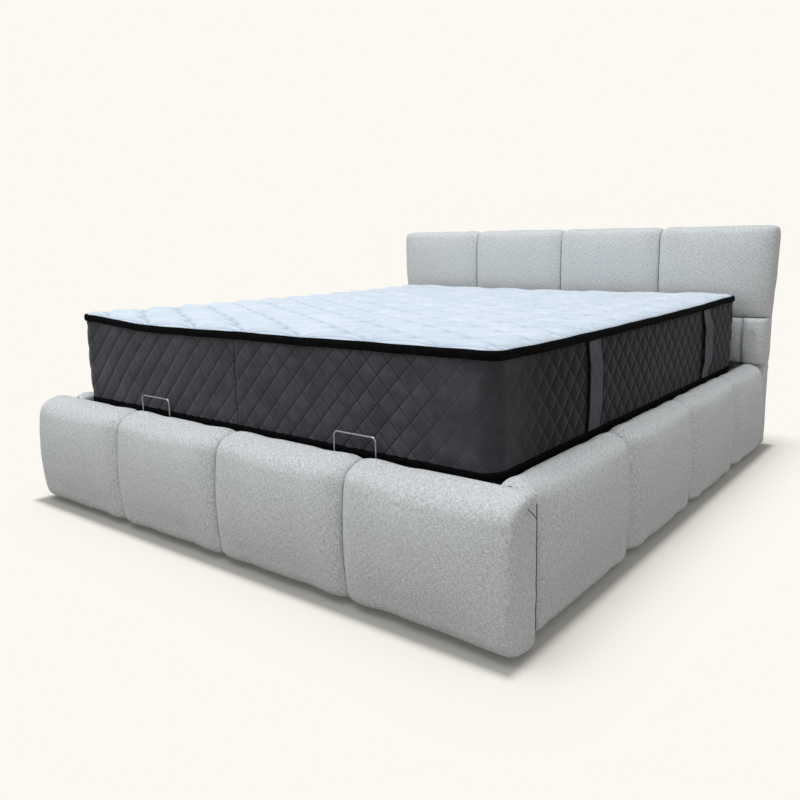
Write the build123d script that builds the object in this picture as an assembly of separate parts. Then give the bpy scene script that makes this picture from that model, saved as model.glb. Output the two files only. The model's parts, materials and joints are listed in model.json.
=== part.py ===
from build123d import *
import math
import os

# Ottoman storage bed: a channel-padded bed frame, a hinged steel deck that lifts on
# swing arms and gas struts, and the mattress that rides on the deck.
# Millimetres. X runs across the bed, +Y to the head, +Z up. The origin lies on the
# floor under the middle of the whole bed.

os.makedirs("parts", exist_ok=True)

# Driving sizes of the bed
mattress_width = 1830.0
mattress_length = 2030.0
mattress_thickness = 340.0
mattress_bottom = 375.0
side_gap = 20.0
foot_gap = 20.0
head_gap = 50.0
rail_thickness = 115.0
rail_height = 400.0
footboard_thickness = 140.0
headboard_thickness = 130.0
headboard_height = 1020.0
row_seam_height = 605.0
overrun = 20.0

# Places that follow from the driving sizes
inner_half = mattress_width / 2 + side_gap
outer_half = inner_half + rail_thickness
bed_length = footboard_thickness + foot_gap + mattress_length + head_gap + headboard_thickness
foot_face = -bed_length / 2
foot_inner = foot_face + footboard_thickness
mattress_foot = foot_inner + foot_gap
mattress_head = mattress_foot + mattress_length
head_back = bed_length / 2

# Boards inside the padding
floor_clearance = 10.0
board_thickness = 25.0
board_top = 340.0
headboard_board_thickness = 35.0
end_wrap = 30.0
top_wrap = 60.0
cover_thickness = 3.0
cover_edge_margin = 4.0
cover_top_margin = 20.0
cover_lift = 2.0
cover_corner = 60.0

# Upholstered pads
pad_clearance = 0.3
pad_low = 12.0
seam_draw = 30.0
seam_drop = 22.0
seam_lift = 14.0
seam_reach = 190.0
corner_draw = 24.0
corner_reach = 120.0
foot_end_round = 45.0
rail_end_round = 48.0
rail_end_drop = 58.0
rail_end_reach = 75.0
rail_end_margin = 32.0
low_round_share = 0.42
high_round_share = 0.52
back_round_share = 0.2
belly_lean = 9.0
crest = 6.0
row_round_share = 0.38
row_lean = 6.0
head_seam_draw = 26.0
head_seam_reach = 170.0
head_end_draw = 60.0
head_end_drop = 50.0
head_end_reach = 90.0
cheek_depth = 72.0
cheek_draw = 16.0
cheek_pinch = 6.0
cheek_reach = 60.0
footboard_panels = 4
headboard_panels = 4
rail_seam_shares = (0.0, 0.285, 0.543, 0.788, 1.0)
swell_steps = 3
quarter_share = math.sqrt(0.5)

# Steel deck
tube_width = 25.0
tube_height = 38.0
tube_wall = 1.5
deck_side_clearance = 23.0
deck_end_margin = 5.0
deck_bottom = 320.0
deck_top = deck_bottom + tube_height
cross_tube_shares = (0.36, 0.68)
slat_count = 14
slat_width = 50.0
slat_thickness = 8.0
slat_end_reach = 14.0
slat_crown_clearance = 0.3
holder_floor = 2.2
holder_roof = 1.6
holder_wall = 3.0
holder_play = 0.6
centre_web = 6.0

# Lift mechanism: a swing arm on each side, with the deck's head end guided in a track
arm_length = 480.0
arm_width = 40.0
arm_thickness = 6.0
arm_angle = 8.0
track_height = 250.0
track_from_mattress_head = 240.0
open_angle = 36.0
strut_reach = 300.0
strut_apex_angle = 50.0
plate_thickness = 4.0
arm_gap = 1.0
bracket_gap = 8.0
pin_radius = 7.0
running_clearance = 0.05
pin_head_radius = 12.0
pin_head_thickness = 5.6
pin_face_gap = 0.4
collar_radius = 11.0
lug_radius = 22.0
bracket_nose_share = 3.0
bush_radius = 13.0
bush_length = 10.5
bush_inset = 1.5
bush_head_radius = 9.0
bush_head_thickness = 1.6
bush_gap = 0.2
track_wall = 2.5
track_play = 0.5
track_depth = 18.0
track_end_margin = 25.0
plate_corner = 12.0
plate_margin = 40.0
plate_nose = 100.0
plate_foot = 28.0

# Gas struts
strut_offset = 24.0
eyelet_radius = 10.0
eyelet_thickness = 8.0
stud_radius = 4.0
stud_collar_radius = 8.0
stud_head_radius = 7.0
stud_head_thickness = 1.7
strut_tube_radius = 11.0
strut_bore_radius = 9.0
strut_tube_start = 20.0
strut_tube_end = 225.0
strut_bottom_wall = 6.0
gland_length = 12.0
gland_clearance = 0.3
strut_neck_radius = 5.0
strut_neck_length = 9.0
rod_radius = 4.0
rod_length = 208.0
piston_radius = 8.6
piston_length = 10.0

# Ledges, brackets, fixings and floor
ledge_wall = 3.0
ledge_height = 34.0
ledge_top = 316.0
ledge_reach = 55.0
ledge_run = 730.0
ledge_corner_margin = 20.0
bumper_radius = 10.0
bumper_gap = 0.3
bumper_count = 4
bumper_margin = 20.0
foot_bumper_shares = (0.33, 0.97)
bracket_leg = 60.0
bracket_wall = 4.0
bracket_low = 60.0
bracket_high = 200.0
screw_radius = 3.0
screw_length = 20.0
screw_head_radius = 6.0
screw_head_thickness = 2.0
screw_clearance = 0.3
fixing_count = 4
batten_width = 30.0
batten_height = 12.0
panel_thickness = 3.0
panel_count = 3
panel_gap = 2.0
glide_radius = 12.0
glide_margin = 60.0
side_glide_shares = (0.06, 0.35, 0.65, 0.94)
end_glide_share = 0.33
cross_glide_shares = (0.33, 0.8)

# Mattress
tape_width = 24.0
tape_proud = 4.0
border_thickness = 8.0
mattress_corner = 60.0
top_panel_thickness = 24.0
top_inset = 40.0
top_profile_shares = ((0.0, 0.0), (0.08, 0.33), (0.33, 0.63), (1.0, 0.88), (3.0, 1.0))
base_thickness = 6.0
layer_gap = 0.3
handle_places = (-467.0, 600.0)
handle_width = 100.0
handle_end_gap = 2.0
handle_thickness = 3.0
handle_gap = 1.2
handle_stitch = 22.0
wire_radius = 3.0
loop_places = (-465.0, 465.0)
loop_width = 155.0
loop_top = 446.0
loop_corner = 14.0
loop_foot_height = 335.0
loop_bend_share = 0.6

# Places of the moving parts, as (y, z)
bush_point = (mattress_head - track_from_mattress_head, track_height)
arm_rise = math.radians(arm_angle)
pivot_point = (bush_point[0] - 2 * arm_length * math.cos(arm_rise), track_height)
crank_point = (
    pivot_point[0] + arm_length * math.cos(arm_rise),
    track_height + arm_length * math.sin(arm_rise),
)
strut_low_angle = math.radians(arm_angle - strut_apex_angle)
strut_base_point = (
    pivot_point[0] + strut_reach * math.cos(strut_low_angle),
    pivot_point[1] + strut_reach * math.sin(strut_low_angle),
)
strut_arm_point = (
    pivot_point[0] + strut_reach * math.cos(arm_rise),
    pivot_point[1] + strut_reach * math.sin(arm_rise),
)
strut_tilt = 90.0 + arm_angle - strut_apex_angle / 2
bush_travel = 2 * arm_length * (math.cos(arm_rise) - math.cos(math.radians(arm_angle + open_angle)))

# Faces across the right side, from the rail inwards
plate_face = inner_half - plate_thickness
arm_outer = plate_face - arm_gap
arm_inner = arm_outer - arm_thickness
bracket_outer = arm_inner - bracket_gap
deck_half = inner_half - deck_side_clearance
strut_x = inner_half - strut_offset
deck_foot = mattress_foot + deck_end_margin
deck_head = mattress_head - deck_end_margin


def block(x0, x1, y0, y1, z0, z1):
    """A box between two corners."""
    centre = Pos((x0 + x1) / 2, (y0 + y1) / 2, (z0 + z1) / 2)
    return centre * Box(x1 - x0, y1 - y0, z1 - z0)


def rod_x(radius, x0, x1, y, z):
    """A round bar along X."""
    return Pos((x0 + x1) / 2, y, z) * Rot(0, 90, 0) * Cylinder(radius, x1 - x0)


def rod_y(radius, y0, y1):
    """A round bar along Y on the Y axis."""
    return Pos(0, (y0 + y1) / 2, 0) * Rot(90, 0, 0) * Cylinder(radius, y1 - y0)


def plate_x(sketch, x0, thickness):
    """A plate cut from a sketch in Y and Z, from x0 towards +X."""
    return extrude(Plane.YZ.offset(x0) * sketch, thickness, dir=(1, 0, 0))


def mirrored(part):
    """The same piece on the left side."""
    return mirror(part, about=Plane.YZ)


def both_sides(pieces):
    """The pieces of the right side and their mirror images."""
    return list(pieces) + [mirrored(piece) for piece in pieces]


def save(name, pieces):
    """One file for one sub-part, from a solid or a list of solids."""
    group = pieces if isinstance(pieces, list) else [pieces]
    solids = [solid for piece in group for solid in piece.solids()]
    shape = solids[0] if len(solids) == 1 else Compound(children=solids)
    export_step(shape, f"parts/{name}.step")


def swell(distance, reach):
    """How full a pad is at a distance from its seam: 0 at the seam, 1 past its reach."""
    left = 1 - min(max(distance, 0) / reach, 1)
    return math.sqrt(1 - left**2)


def quarter_mid(start, end, along_depth):
    """The middle of a quarter round from start to end, leaving along depth or height."""
    first, second = (quarter_share, 1 - quarter_share) if along_depth else (1 - quarter_share, quarter_share)
    return (start[0] + (end[0] - start[0]) * first, start[1] + (end[1] - start[1]) * second)


def wrapped_outline(depth, low, high, place):
    """Section of a pad that wraps over its board: drawn-in foot, full side and round top."""
    low_round = depth * low_round_share
    high_round = depth * high_round_share
    return topped_outline(depth, low, high, low_round, high_round, belly_lean, place)


def head_outline(depth, low, high, place):
    """Section of a headboard pad: sewn off below, wrapped over the top of the board."""
    row_round = depth * row_round_share
    return topped_outline(depth, low, high, row_round, row_round, row_lean, place)


def topped_outline(depth, low, high, low_round, high_round, lean, place):
    """Flat back, round foot, bellied front and a crowned top that turns down at the back."""
    front = depth - lean
    shelf = high - crest
    back_round = depth * back_round_share
    points = [
        (0, low),
        (depth - low_round, low),
        (front, low + low_round),
        (front, high - high_round),
        (depth - high_round, shelf),
        (back_round, shelf),
        (0, high - back_round),
    ]
    at = [place(*point) for point in points]
    edges = [
        Line(at[0], at[1]),
        ThreePointArc(at[1], place(*quarter_mid(points[1], points[2], True)), at[2]),
        ThreePointArc(at[2], place(depth, (points[2][1] + points[3][1]) / 2), at[3]),
        ThreePointArc(at[3], place(*quarter_mid(points[3], points[4], False)), at[4]),
        ThreePointArc(at[4], place((points[4][0] + points[5][0]) / 2, high), at[5]),
        ThreePointArc(at[5], place(*quarter_mid(points[5], points[6], True)), at[6]),
        Line(at[6], at[0]),
    ]
    return Face(Wire(edges))


def row_outline(depth, low, high, place):
    """Section of a pad that is sewn off above and below, flat at the back."""
    front = depth - row_lean
    row_round = depth * row_round_share
    points = [
        (0, low),
        (depth - row_round, low),
        (front, low + row_round),
        (front, high - row_round),
        (depth - row_round, high),
        (0, high),
    ]
    at = [place(*point) for point in points]
    edges = [
        Line(at[0], at[1]),
        ThreePointArc(at[1], place(*quarter_mid(points[1], points[2], True)), at[2]),
        ThreePointArc(at[2], place(depth, (points[2][1] + points[3][1]) / 2), at[3]),
        ThreePointArc(at[3], place(*quarter_mid(points[3], points[4], False)), at[4]),
        Line(at[4], at[5]),
        Line(at[5], at[0]),
    ]
    return Face(Wire(edges))


def swell_places(edge, reach):
    """Distances of a pad's sections from an edge, closest where it swells fastest."""
    turns = [math.pi / 2 * step / swell_steps for step in range(swell_steps + 1)]
    return [edge + reach * (1 - math.cos(turn)) for turn in turns]


def pad(start, stop, depth, low, high, edges, outline, place):
    """A puffy pad along its run: two swelling ends and a straight middle.

    Each edge gives how far its section draws in, drops at the top and lifts at the foot,
    and the reach over which the pad swells to its full size.
    """
    half = (stop - start) / 2
    reach_low = min(edges[0][3], half)
    reach_high = min(edges[1][3], half)

    def section(along):
        slack_low = 1 - swell(along - start, reach_low)
        slack_high = 1 - swell(stop - along, reach_high)
        draw = edges[0][0] * slack_low + edges[1][0] * slack_high
        drop = edges[0][1] * slack_low + edges[1][1] * slack_high
        lift = edges[0][2] * slack_low + edges[1][2] * slack_high
        return outline(depth - draw, low + lift, high - drop, lambda deep, up: place(along, deep, up))

    first = [section(along) for along in swell_places(start, reach_low)]
    last = [section(along) for along in swell_places(stop, -reach_high)]
    whole = loft(first) + loft(last)
    if stop - reach_high - start - reach_low > pad_clearance:
        whole = whole + loft([first[-1], last[-1]], ruled=True)
    return whole


def half_gap(index, count, start, stop):
    """Ends of one panel in a row, with half the pad gap taken off at each inner seam."""
    step = (stop - start) / count
    low = start + step * index + (pad_clearance if index > 0 else 0)
    high = start + step * (index + 1) - (pad_clearance if index < count - 1 else 0)
    return low, high


def drill(piece, fixings):
    """Clearance holes through a piece for the screws that pass it."""
    for axis, x, y, z in fixings:
        reach = screw_length + screw_clearance
        radius = screw_radius + screw_clearance
        piece = piece - fixing_bar(axis, x, y, z, radius, -overrun, reach)
    return piece


def fixing_bar(axis, x, y, z, radius, start, stop):
    """A round bar on a screw's line. The axis is the way that the screw is driven."""
    length = stop - start
    middle = (start + stop) / 2
    bar = Cylinder(radius, length)
    if axis in ("+x", "-x"):
        shift = middle if axis == "+x" else -middle
        return Pos(x + shift, y, z) * Rot(0, 90, 0) * bar
    shift = middle if axis == "+y" else -middle
    return Pos(x, y + shift, z) * Rot(90, 0, 0) * bar


def screw(axis, x, y, z):
    """A flat-headed screw. Its head lies on the face at the given point."""
    shank = fixing_bar(axis, x, y, z, screw_radius, -screw_head_thickness, screw_length)
    return shank + fixing_bar(axis, x, y, z, screw_head_radius, -screw_head_thickness, 0)


# Screw places, as (driving axis, x, y, z) at the face under the head
bracket_middle = bracket_leg * 0.6
bracket_rows = (bracket_low + bracket_leg / 2, bracket_high - bracket_leg / 2)
head_board_face = head_back - cover_thickness - headboard_board_thickness
head_bracket_face = head_board_face - cover_thickness


def bracket_fixings(side):
    """Screws of the foot and head brackets on one side, 1 for right and -1 for left."""
    along_x = "+x" if side > 0 else "-x"
    places = []
    for z in bracket_rows:
        x_leg = side * (inner_half - bracket_wall)
        places.append((along_x, x_leg, foot_inner + bracket_middle, z))
        places.append((along_x, x_leg, head_bracket_face - bracket_middle, z))
        places.append(("-y", side * (inner_half - bracket_middle), foot_inner + bracket_wall, z))
        places.append(("+y", side * (inner_half - bracket_middle), head_bracket_face - bracket_wall, z))
    return places


def hinge_plate_fixings(side):
    """Screws of one hinge plate, sunk so that the arm clears their heads."""
    along_x = "+x" if side > 0 else "-x"
    sunk = side * (plate_face + screw_head_thickness)
    corners = (
        (pivot_point[0] - plate_margin / 2, pivot_point[1] + plate_margin / 2),
        (pivot_point[0] - plate_margin / 2, pivot_point[1] - plate_margin / 2),
        (pivot_point[0] + plate_margin * 2, pivot_point[1] + plate_margin / 2),
        (strut_base_point[0] + plate_margin / 2, strut_base_point[1] + plate_margin / 2),
    )
    return [(along_x, sunk, y, z) for y, z in corners]


def track_fixings(side):
    """Screws along the middle of one guide track."""
    along_x = "+x" if side > 0 else "-x"
    face = side * (inner_half - track_wall)
    first = bush_point[0] - bush_travel
    step = bush_travel / (fixing_count - 1)
    return [(along_x, face, first + step * index, track_height) for index in range(fixing_count)]


def ledge_fixings(side):
    """Screws of one side ledge."""
    along_x = "+x" if side > 0 else "-x"
    face = side * (inner_half - ledge_wall)
    first = foot_inner + bracket_leg
    step = (ledge_run - 2 * bracket_leg) / (fixing_count - 1)
    height = ledge_top - ledge_height / 2
    return [(along_x, face, first + step * index, height) for index in range(fixing_count)]


def foot_ledge_fixings():
    """Screws of the ledge across the footboard."""
    height = ledge_top - ledge_height / 2
    face = foot_inner + ledge_wall
    reach = inner_half - 2 * bracket_leg
    step = 2 * reach / (fixing_count - 1)
    return [("-y", step * index - reach, face, height) for index in range(fixing_count)]


side_fixings = {
    side: bracket_fixings(side) + hinge_plate_fixings(side) + track_fixings(side) + ledge_fixings(side)
    for side in (1, -1)
}


def build_boards():
    """The boards that the pads are upholstered on."""
    foot = block(
        -(outer_half - end_wrap), outer_half - end_wrap,
        foot_inner - board_thickness, foot_inner,
        floor_clearance, board_top,
    )
    foot_screws = [place for side in (1, -1) for place in bracket_fixings(side) if place[0] == "-y"]
    save("footboard_board", drill(foot, foot_screws + foot_ledge_fixings()))
    board_back = head_back - cover_thickness
    upper = block(
        -(outer_half - end_wrap), outer_half - end_wrap,
        head_board_face, board_back,
        rail_height, headboard_height - top_wrap,
    )
    lower_half = inner_half + board_thickness
    lower = block(-lower_half, lower_half, head_board_face, board_back, floor_clearance, rail_height)
    head_screws = [place for side in (1, -1) for place in bracket_fixings(side) if place[0] == "+y"]
    save("headboard_board", drill(upper + lower, head_screws))
    side_board = block(
        inner_half, inner_half + board_thickness,
        foot_inner, head_board_face,
        floor_clearance, board_top,
    )
    right = drill(side_board, [place for place in side_fixings[1] if place[0] == "+x"])
    save("side_board_right", right)
    save("side_board_left", mirrored(right))


def build_headboard_covers():
    """The cloth-covered back panel, with its returns, and the inner cover between the rails."""
    back = head_back - cover_thickness
    upper_half = outer_half - cover_edge_margin
    upper = block(-upper_half, upper_half, back, head_back, rail_height, headboard_height - cover_top_margin)
    upper = fillet(upper.edges().filter_by(Axis.Y).group_by(Axis.Z)[-1], cover_corner)
    lower_half = inner_half + board_thickness + cover_thickness
    lower = block(-lower_half, lower_half, back, head_back, floor_clearance + cover_lift, rail_height)
    returned = block(
        inner_half + board_thickness, lower_half,
        head_board_face, back + cover_thickness / 2,
        floor_clearance + cover_lift, rail_height,
    )
    cover = upper + lower + returned + mirrored(returned)
    save("headboard_back_cover", cover)
    inner = block(
        -(inner_half - pad_clearance), inner_half - pad_clearance,
        head_bracket_face, head_board_face,
        floor_clearance + cover_lift, rail_height - cover_lift,
    )
    head_screws = [place for side in (1, -1) for place in bracket_fixings(side) if place[0] == "+y"]
    save("headboard_inner_cover", drill(inner, head_screws))


def build_footboard_pads():
    """Four pads across the foot, wrapped over the board and round its ends."""
    seam = (seam_draw, seam_drop, seam_lift, seam_reach)
    end = (foot_end_round, end_wrap, seam_lift, foot_end_round)
    pocket = block(
        -(outer_half - end_wrap + pad_clearance), outer_half - end_wrap + pad_clearance,
        foot_inner - board_thickness - pad_clearance, foot_inner + overrun,
        -overrun, board_top + pad_clearance,
    )

    def place(along, depth, height):
        return (along, foot_inner - depth, height)

    for index in range(footboard_panels):
        start, stop = half_gap(index, footboard_panels, -outer_half, outer_half)
        edges = (end if index == 0 else seam, end if index == footboard_panels - 1 else seam)
        whole = pad(
            start, stop, footboard_thickness, pad_low, rail_height, edges, wrapped_outline, place,
        )
        save(f"footboard_pad_{index + 1}", whole - pocket)


def build_side_pads():
    """Four pads along each rail, the last one rounded off at the head."""
    corner = (corner_draw, seam_drop, seam_lift, corner_reach)
    seam = (seam_draw, seam_drop, seam_lift, seam_reach)
    end = (rail_end_round, rail_end_drop, seam_lift, rail_end_reach)
    rail_start = foot_inner + pad_clearance
    rail_stop = head_bracket_face - rail_end_margin + cover_thickness
    pocket = block(
        inner_half - overrun, inner_half + board_thickness + pad_clearance,
        foot_inner - overrun, head_board_face,
        -overrun, board_top + pad_clearance,
    )

    def place(along, depth, height):
        return (inner_half + depth, along, height)

    panels = len(rail_seam_shares) - 1
    for index in range(panels):
        start = rail_start + (rail_stop - rail_start) * rail_seam_shares[index]
        stop = rail_start + (rail_stop - rail_start) * rail_seam_shares[index + 1]
        start += pad_clearance if index > 0 else 0
        stop -= pad_clearance if index < panels - 1 else 0
        edges = (corner if index == 0 else seam, end if index == panels - 1 else seam)
        whole = pad(start, stop, rail_thickness, pad_low, rail_height, edges, wrapped_outline, place)
        right = whole - pocket
        save(f"side_pad_right_{index + 1}", right)
        save(f"side_pad_left_{index + 1}", mirrored(right))


def build_headboard_pads():
    """Four tall pads above, six short ones above the rails, and a cheek beside each rail's end."""
    seam = (head_seam_draw, seam_drop, 0, head_seam_reach)
    end = (head_end_draw, head_end_drop, 0, head_end_reach)
    board_back = head_back - cover_thickness
    depth = headboard_thickness - cover_thickness
    pocket = block(
        -(outer_half - end_wrap + pad_clearance), outer_half - end_wrap + pad_clearance,
        head_board_face - pad_clearance, head_back,
        0, headboard_height - top_wrap + pad_clearance,
    )
    back_trim = block(
        -outer_half - overrun, outer_half + overrun,
        board_back - pad_clearance, head_back + overrun,
        0, headboard_height + overrun,
    )

    def place(along, depth_at, height):
        return (along, board_back - depth_at, height)

    for index in range(headboard_panels):
        start, stop = half_gap(index, headboard_panels, -outer_half, outer_half)
        edges = (end if index == 0 else seam, end if index == headboard_panels - 1 else seam)
        whole = pad(
            start, stop, depth, row_seam_height + pad_clearance, headboard_height,
            edges, head_outline, place,
        )
        save(f"headboard_top_pad_{index + 1}", whole - pocket - back_trim)

    row_seam = (head_seam_draw, 0, 0, head_seam_reach)
    row_end = (head_end_draw, 0, 0, head_end_reach)
    half_panel = outer_half * 2 / headboard_panels
    seams = (-outer_half, -inner_half, -half_panel, 0, half_panel, inner_half, outer_half)
    pieces = []
    for index in range(len(seams) - 1):
        first, last = index == 0, index == len(seams) - 2
        start = seams[index] + (0 if first else pad_clearance)
        stop = seams[index + 1] - (0 if last else pad_clearance)
        edges = (row_end if first else row_seam, row_end if last else row_seam)
        whole = pad(
            start, stop, depth, rail_height + pad_clearance, row_seam_height - pad_clearance,
            edges, row_outline, place,
        )
        pieces.append(whole - pocket - back_trim)

    def beside(along, depth_at, length_at):
        return (inner_half + board_thickness + cover_thickness + pad_clearance + depth_at, length_at, along)

    cheek_end = (cheek_draw, cheek_pinch, cheek_pinch, cheek_reach)
    cheek = pad(
        pad_low, rail_height - pad_clearance, cheek_depth,
        head_bracket_face - rail_end_margin + cover_thickness + pad_clearance, board_back - pad_clearance,
        (cheek_end, cheek_end), row_outline, beside,
    )
    save("headboard_middle_pads", pieces + both_sides([cheek]))


def build_brackets_and_fixings():
    """The four corner brackets and every screw of the base."""
    foot_corner = block(
        inner_half - bracket_wall, inner_half, foot_inner, foot_inner + bracket_leg,
        bracket_low, bracket_high,
    ) + block(
        inner_half - bracket_leg, inner_half, foot_inner, foot_inner + bracket_wall,
        bracket_low, bracket_high,
    )
    head_corner = block(
        inner_half - bracket_wall, inner_half,
        head_bracket_face - bracket_leg, head_bracket_face,
        bracket_low, bracket_high,
    ) + block(
        inner_half - bracket_leg, inner_half,
        head_bracket_face - bracket_wall, head_bracket_face,
        bracket_low, bracket_high,
    )
    places = bracket_fixings(1)
    corners = [drill(foot_corner, places), drill(head_corner, places)]
    save("corner_brackets", both_sides(corners))
    screws = [screw(*place) for place in side_fixings[1]]
    across = [screw(*place) for place in foot_ledge_fixings()]
    save("frame_fasteners", both_sides(screws) + across)


def build_ledges():
    """Steel angles that the closed deck rests over, with their rubber bumpers."""
    side = block(
        inner_half - ledge_wall, inner_half, foot_inner, foot_inner + ledge_run,
        ledge_top - ledge_height, ledge_top,
    ) + block(
        inner_half - ledge_reach, inner_half, foot_inner, foot_inner + ledge_run,
        ledge_top - ledge_wall, ledge_top,
    )
    right = drill(side, ledge_fixings(1))
    reach = inner_half - ledge_reach - ledge_corner_margin
    across = block(
        -reach, reach, foot_inner, foot_inner + ledge_wall, ledge_top - ledge_height, ledge_top,
    ) + block(
        -reach, reach, foot_inner, foot_inner + ledge_reach, ledge_top - ledge_wall, ledge_top,
    )
    save("deck_ledges", [right, mirrored(right), drill(across, foot_ledge_fixings())])
    height = deck_bottom - bumper_gap - ledge_top
    rail_middle = deck_half - tube_width / 2
    step = (ledge_run - 2 * bumper_margin) / (bumper_count - 1)
    first = deck_foot + bumper_radius
    side_bumpers = [
        Pos(rail_middle, first + step * index, ledge_top + height / 2) * Cylinder(bumper_radius, height)
        for index in range(bumper_count - 1)
    ]
    foot_bumpers = [
        Pos(x, deck_foot + tube_width / 2, ledge_top + height / 2) * Cylinder(bumper_radius, height)
        for x in (reach * share for share in foot_bumper_shares)
    ]
    save("deck_bumpers", both_sides(side_bumpers + foot_bumpers))


def build_floor():
    """Battens, the loose floor panels on them, and the glides that the bed stands on."""
    low = floor_clearance
    top = low + batten_height
    side = block(inner_half - batten_width, inner_half, foot_inner, head_bracket_face, low, top)
    inner = inner_half - batten_width
    foot = block(-inner, inner, foot_inner, foot_inner + batten_width, low, top)
    head = block(-inner, inner, head_bracket_face - batten_width, head_bracket_face, low, top)
    length = head_bracket_face - foot_inner
    joints = [foot_inner + length * index / panel_count for index in range(1, panel_count)]
    crosses = [block(-inner, inner, y - batten_width, y + batten_width, low, top) for y in joints]
    save("floor_battens", both_sides([side]) + [foot, head] + crosses)
    edges = [foot_inner + pad_clearance] + joints + [head_bracket_face - pad_clearance]
    half = inner_half - pad_clearance
    panels = [
        block(
            -half, half, edges[index] + panel_gap / 2, edges[index + 1] - panel_gap / 2,
            top, top + panel_thickness,
        )
        for index in range(panel_count)
    ]
    save("floor_panels", panels)
    side_x = inner_half + board_thickness / 2
    foot_y = foot_inner - board_thickness / 2
    head_y = head_board_face + headboard_board_thickness / 2
    end_x = inner_half * end_glide_share
    spots = [(side_x, foot_inner + length * share) for share in side_glide_shares]
    spots += [(outer_half - glide_margin, foot_y), (end_x, foot_y)]
    spots += [(inner_half - glide_margin, head_y), (end_x, head_y)]
    spots += [(inner_half * share, y) for share in cross_glide_shares for y in joints]
    glides = [Pos(x, y, floor_clearance / 2) * Cylinder(glide_radius, floor_clearance) for x, y in spots]
    save("floor_glides", both_sides(glides))


def build_hinge_plate():
    """The pressed plate on each rail that carries the arm pivot and the strut's low stud."""
    corners = [
        (pivot_point[0] - plate_margin, pivot_point[1] - plate_margin),
        (pivot_point[0] - plate_margin, pivot_point[1] + plate_margin),
        (pivot_point[0] + plate_nose, pivot_point[1] + plate_margin),
        (strut_base_point[0] + plate_margin, strut_base_point[1] + plate_margin),
        (strut_base_point[0] + plate_margin, plate_foot),
        (strut_base_point[0] - plate_margin, plate_foot),
    ]
    sketch = fillet(Polygon(*corners, align=None).vertices(), plate_corner)
    plate = plate_x(sketch, plate_face, plate_thickness)
    bore = pin_radius + running_clearance
    plate = plate - rod_x(bore, plate_face - overrun, inner_half + overrun, *pivot_point)
    stud_bore = stud_radius + running_clearance
    plate = plate - rod_x(stud_bore, plate_face - overrun, inner_half + overrun, *strut_base_point)
    sunk = screw_head_radius + screw_clearance
    for axis, x, y, z in hinge_plate_fixings(1):
        plate = plate - fixing_bar(axis, x, y, z, sunk, -overrun, 0)
    plate = drill(plate, hinge_plate_fixings(1))
    save("hinge_plate_right", plate)
    save("hinge_plate_left", mirrored(plate))


def build_guide_track():
    """The channel on each rail in which the deck's bush runs."""
    inner = bush_radius + track_play
    start = bush_point[0] - bush_travel - bush_radius - track_end_margin
    stop = bush_point[0] + bush_radius + track_end_margin
    outer = inner + track_wall
    body = block(
        inner_half - track_depth, inner_half, start, stop, track_height - outer, track_height + outer,
    )
    slot = block(
        inner_half - track_depth - overrun, inner_half - track_wall,
        start + track_wall, stop - track_wall,
        track_height - inner, track_height + inner,
    )
    track = drill(body - slot, track_fixings(1))
    save("guide_track_right", track)
    save("guide_track_left", mirrored(track))


def headed_stud(point, outer, inner_end, collar_start, collar_stop):
    """A strut stud along X, with a collar and a small head at its inner end."""
    body = rod_x(stud_radius, inner_end, outer, *point)
    collar = rod_x(stud_collar_radius, collar_start, collar_stop, *point)
    head = rod_x(stud_head_radius, inner_end, inner_end + stud_head_thickness, *point)
    return body + collar + head


def build_pins():
    """The fixed studs on the hinge plates and the pins that the arms carry."""
    head_stop = arm_inner - pin_face_gap
    pivot = rod_x(pin_radius, head_stop, inner_half, *pivot_point)
    pivot = pivot + rod_x(pin_head_radius, head_stop - pin_head_thickness, head_stop, *pivot_point)
    washer_start = arm_outer + pin_face_gap
    pivot = pivot + rod_x(collar_radius, washer_start, plate_face, *pivot_point)
    stud_end = strut_x - eyelet_thickness / 2 - pin_face_gap - stud_head_thickness
    collar_start = strut_x + eyelet_thickness / 2 + pin_face_gap
    low_stud = headed_stud(strut_base_point, inner_half, stud_end, collar_start, plate_face)
    save("pivot_studs", both_sides([pivot, low_stud]))
    crank = rod_x(pin_radius, deck_half + pin_face_gap, arm_outer, *crank_point)
    collar_low = bracket_outer + pin_face_gap
    crank = crank + rod_x(collar_radius, collar_low, arm_inner, *crank_point)
    arm_stud = headed_stud(strut_arm_point, arm_outer, stud_end, collar_start, arm_inner)
    save("arm_pins", both_sides([crank, arm_stud]))


def build_arms():
    """The swing arms that carry the deck."""
    middle = ((pivot_point[0] + crank_point[0]) / 2, (pivot_point[1] + crank_point[1]) / 2)
    sketch = Pos(*middle) * Rot(0, 0, arm_angle) * SlotCenterToCenter(arm_length, arm_width)
    arm = plate_x(sketch, arm_inner, arm_thickness)
    bore = pin_radius + running_clearance
    for point in (pivot_point, crank_point):
        arm = arm - rod_x(bore, arm_inner - overrun, arm_outer + overrun, *point)
    stud_bore = stud_radius + running_clearance
    arm = arm - rod_x(stud_bore, arm_inner - overrun, arm_outer + overrun, *strut_arm_point)
    save("lift_arm_right", arm)
    save("lift_arm_left", mirrored(arm))


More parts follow.
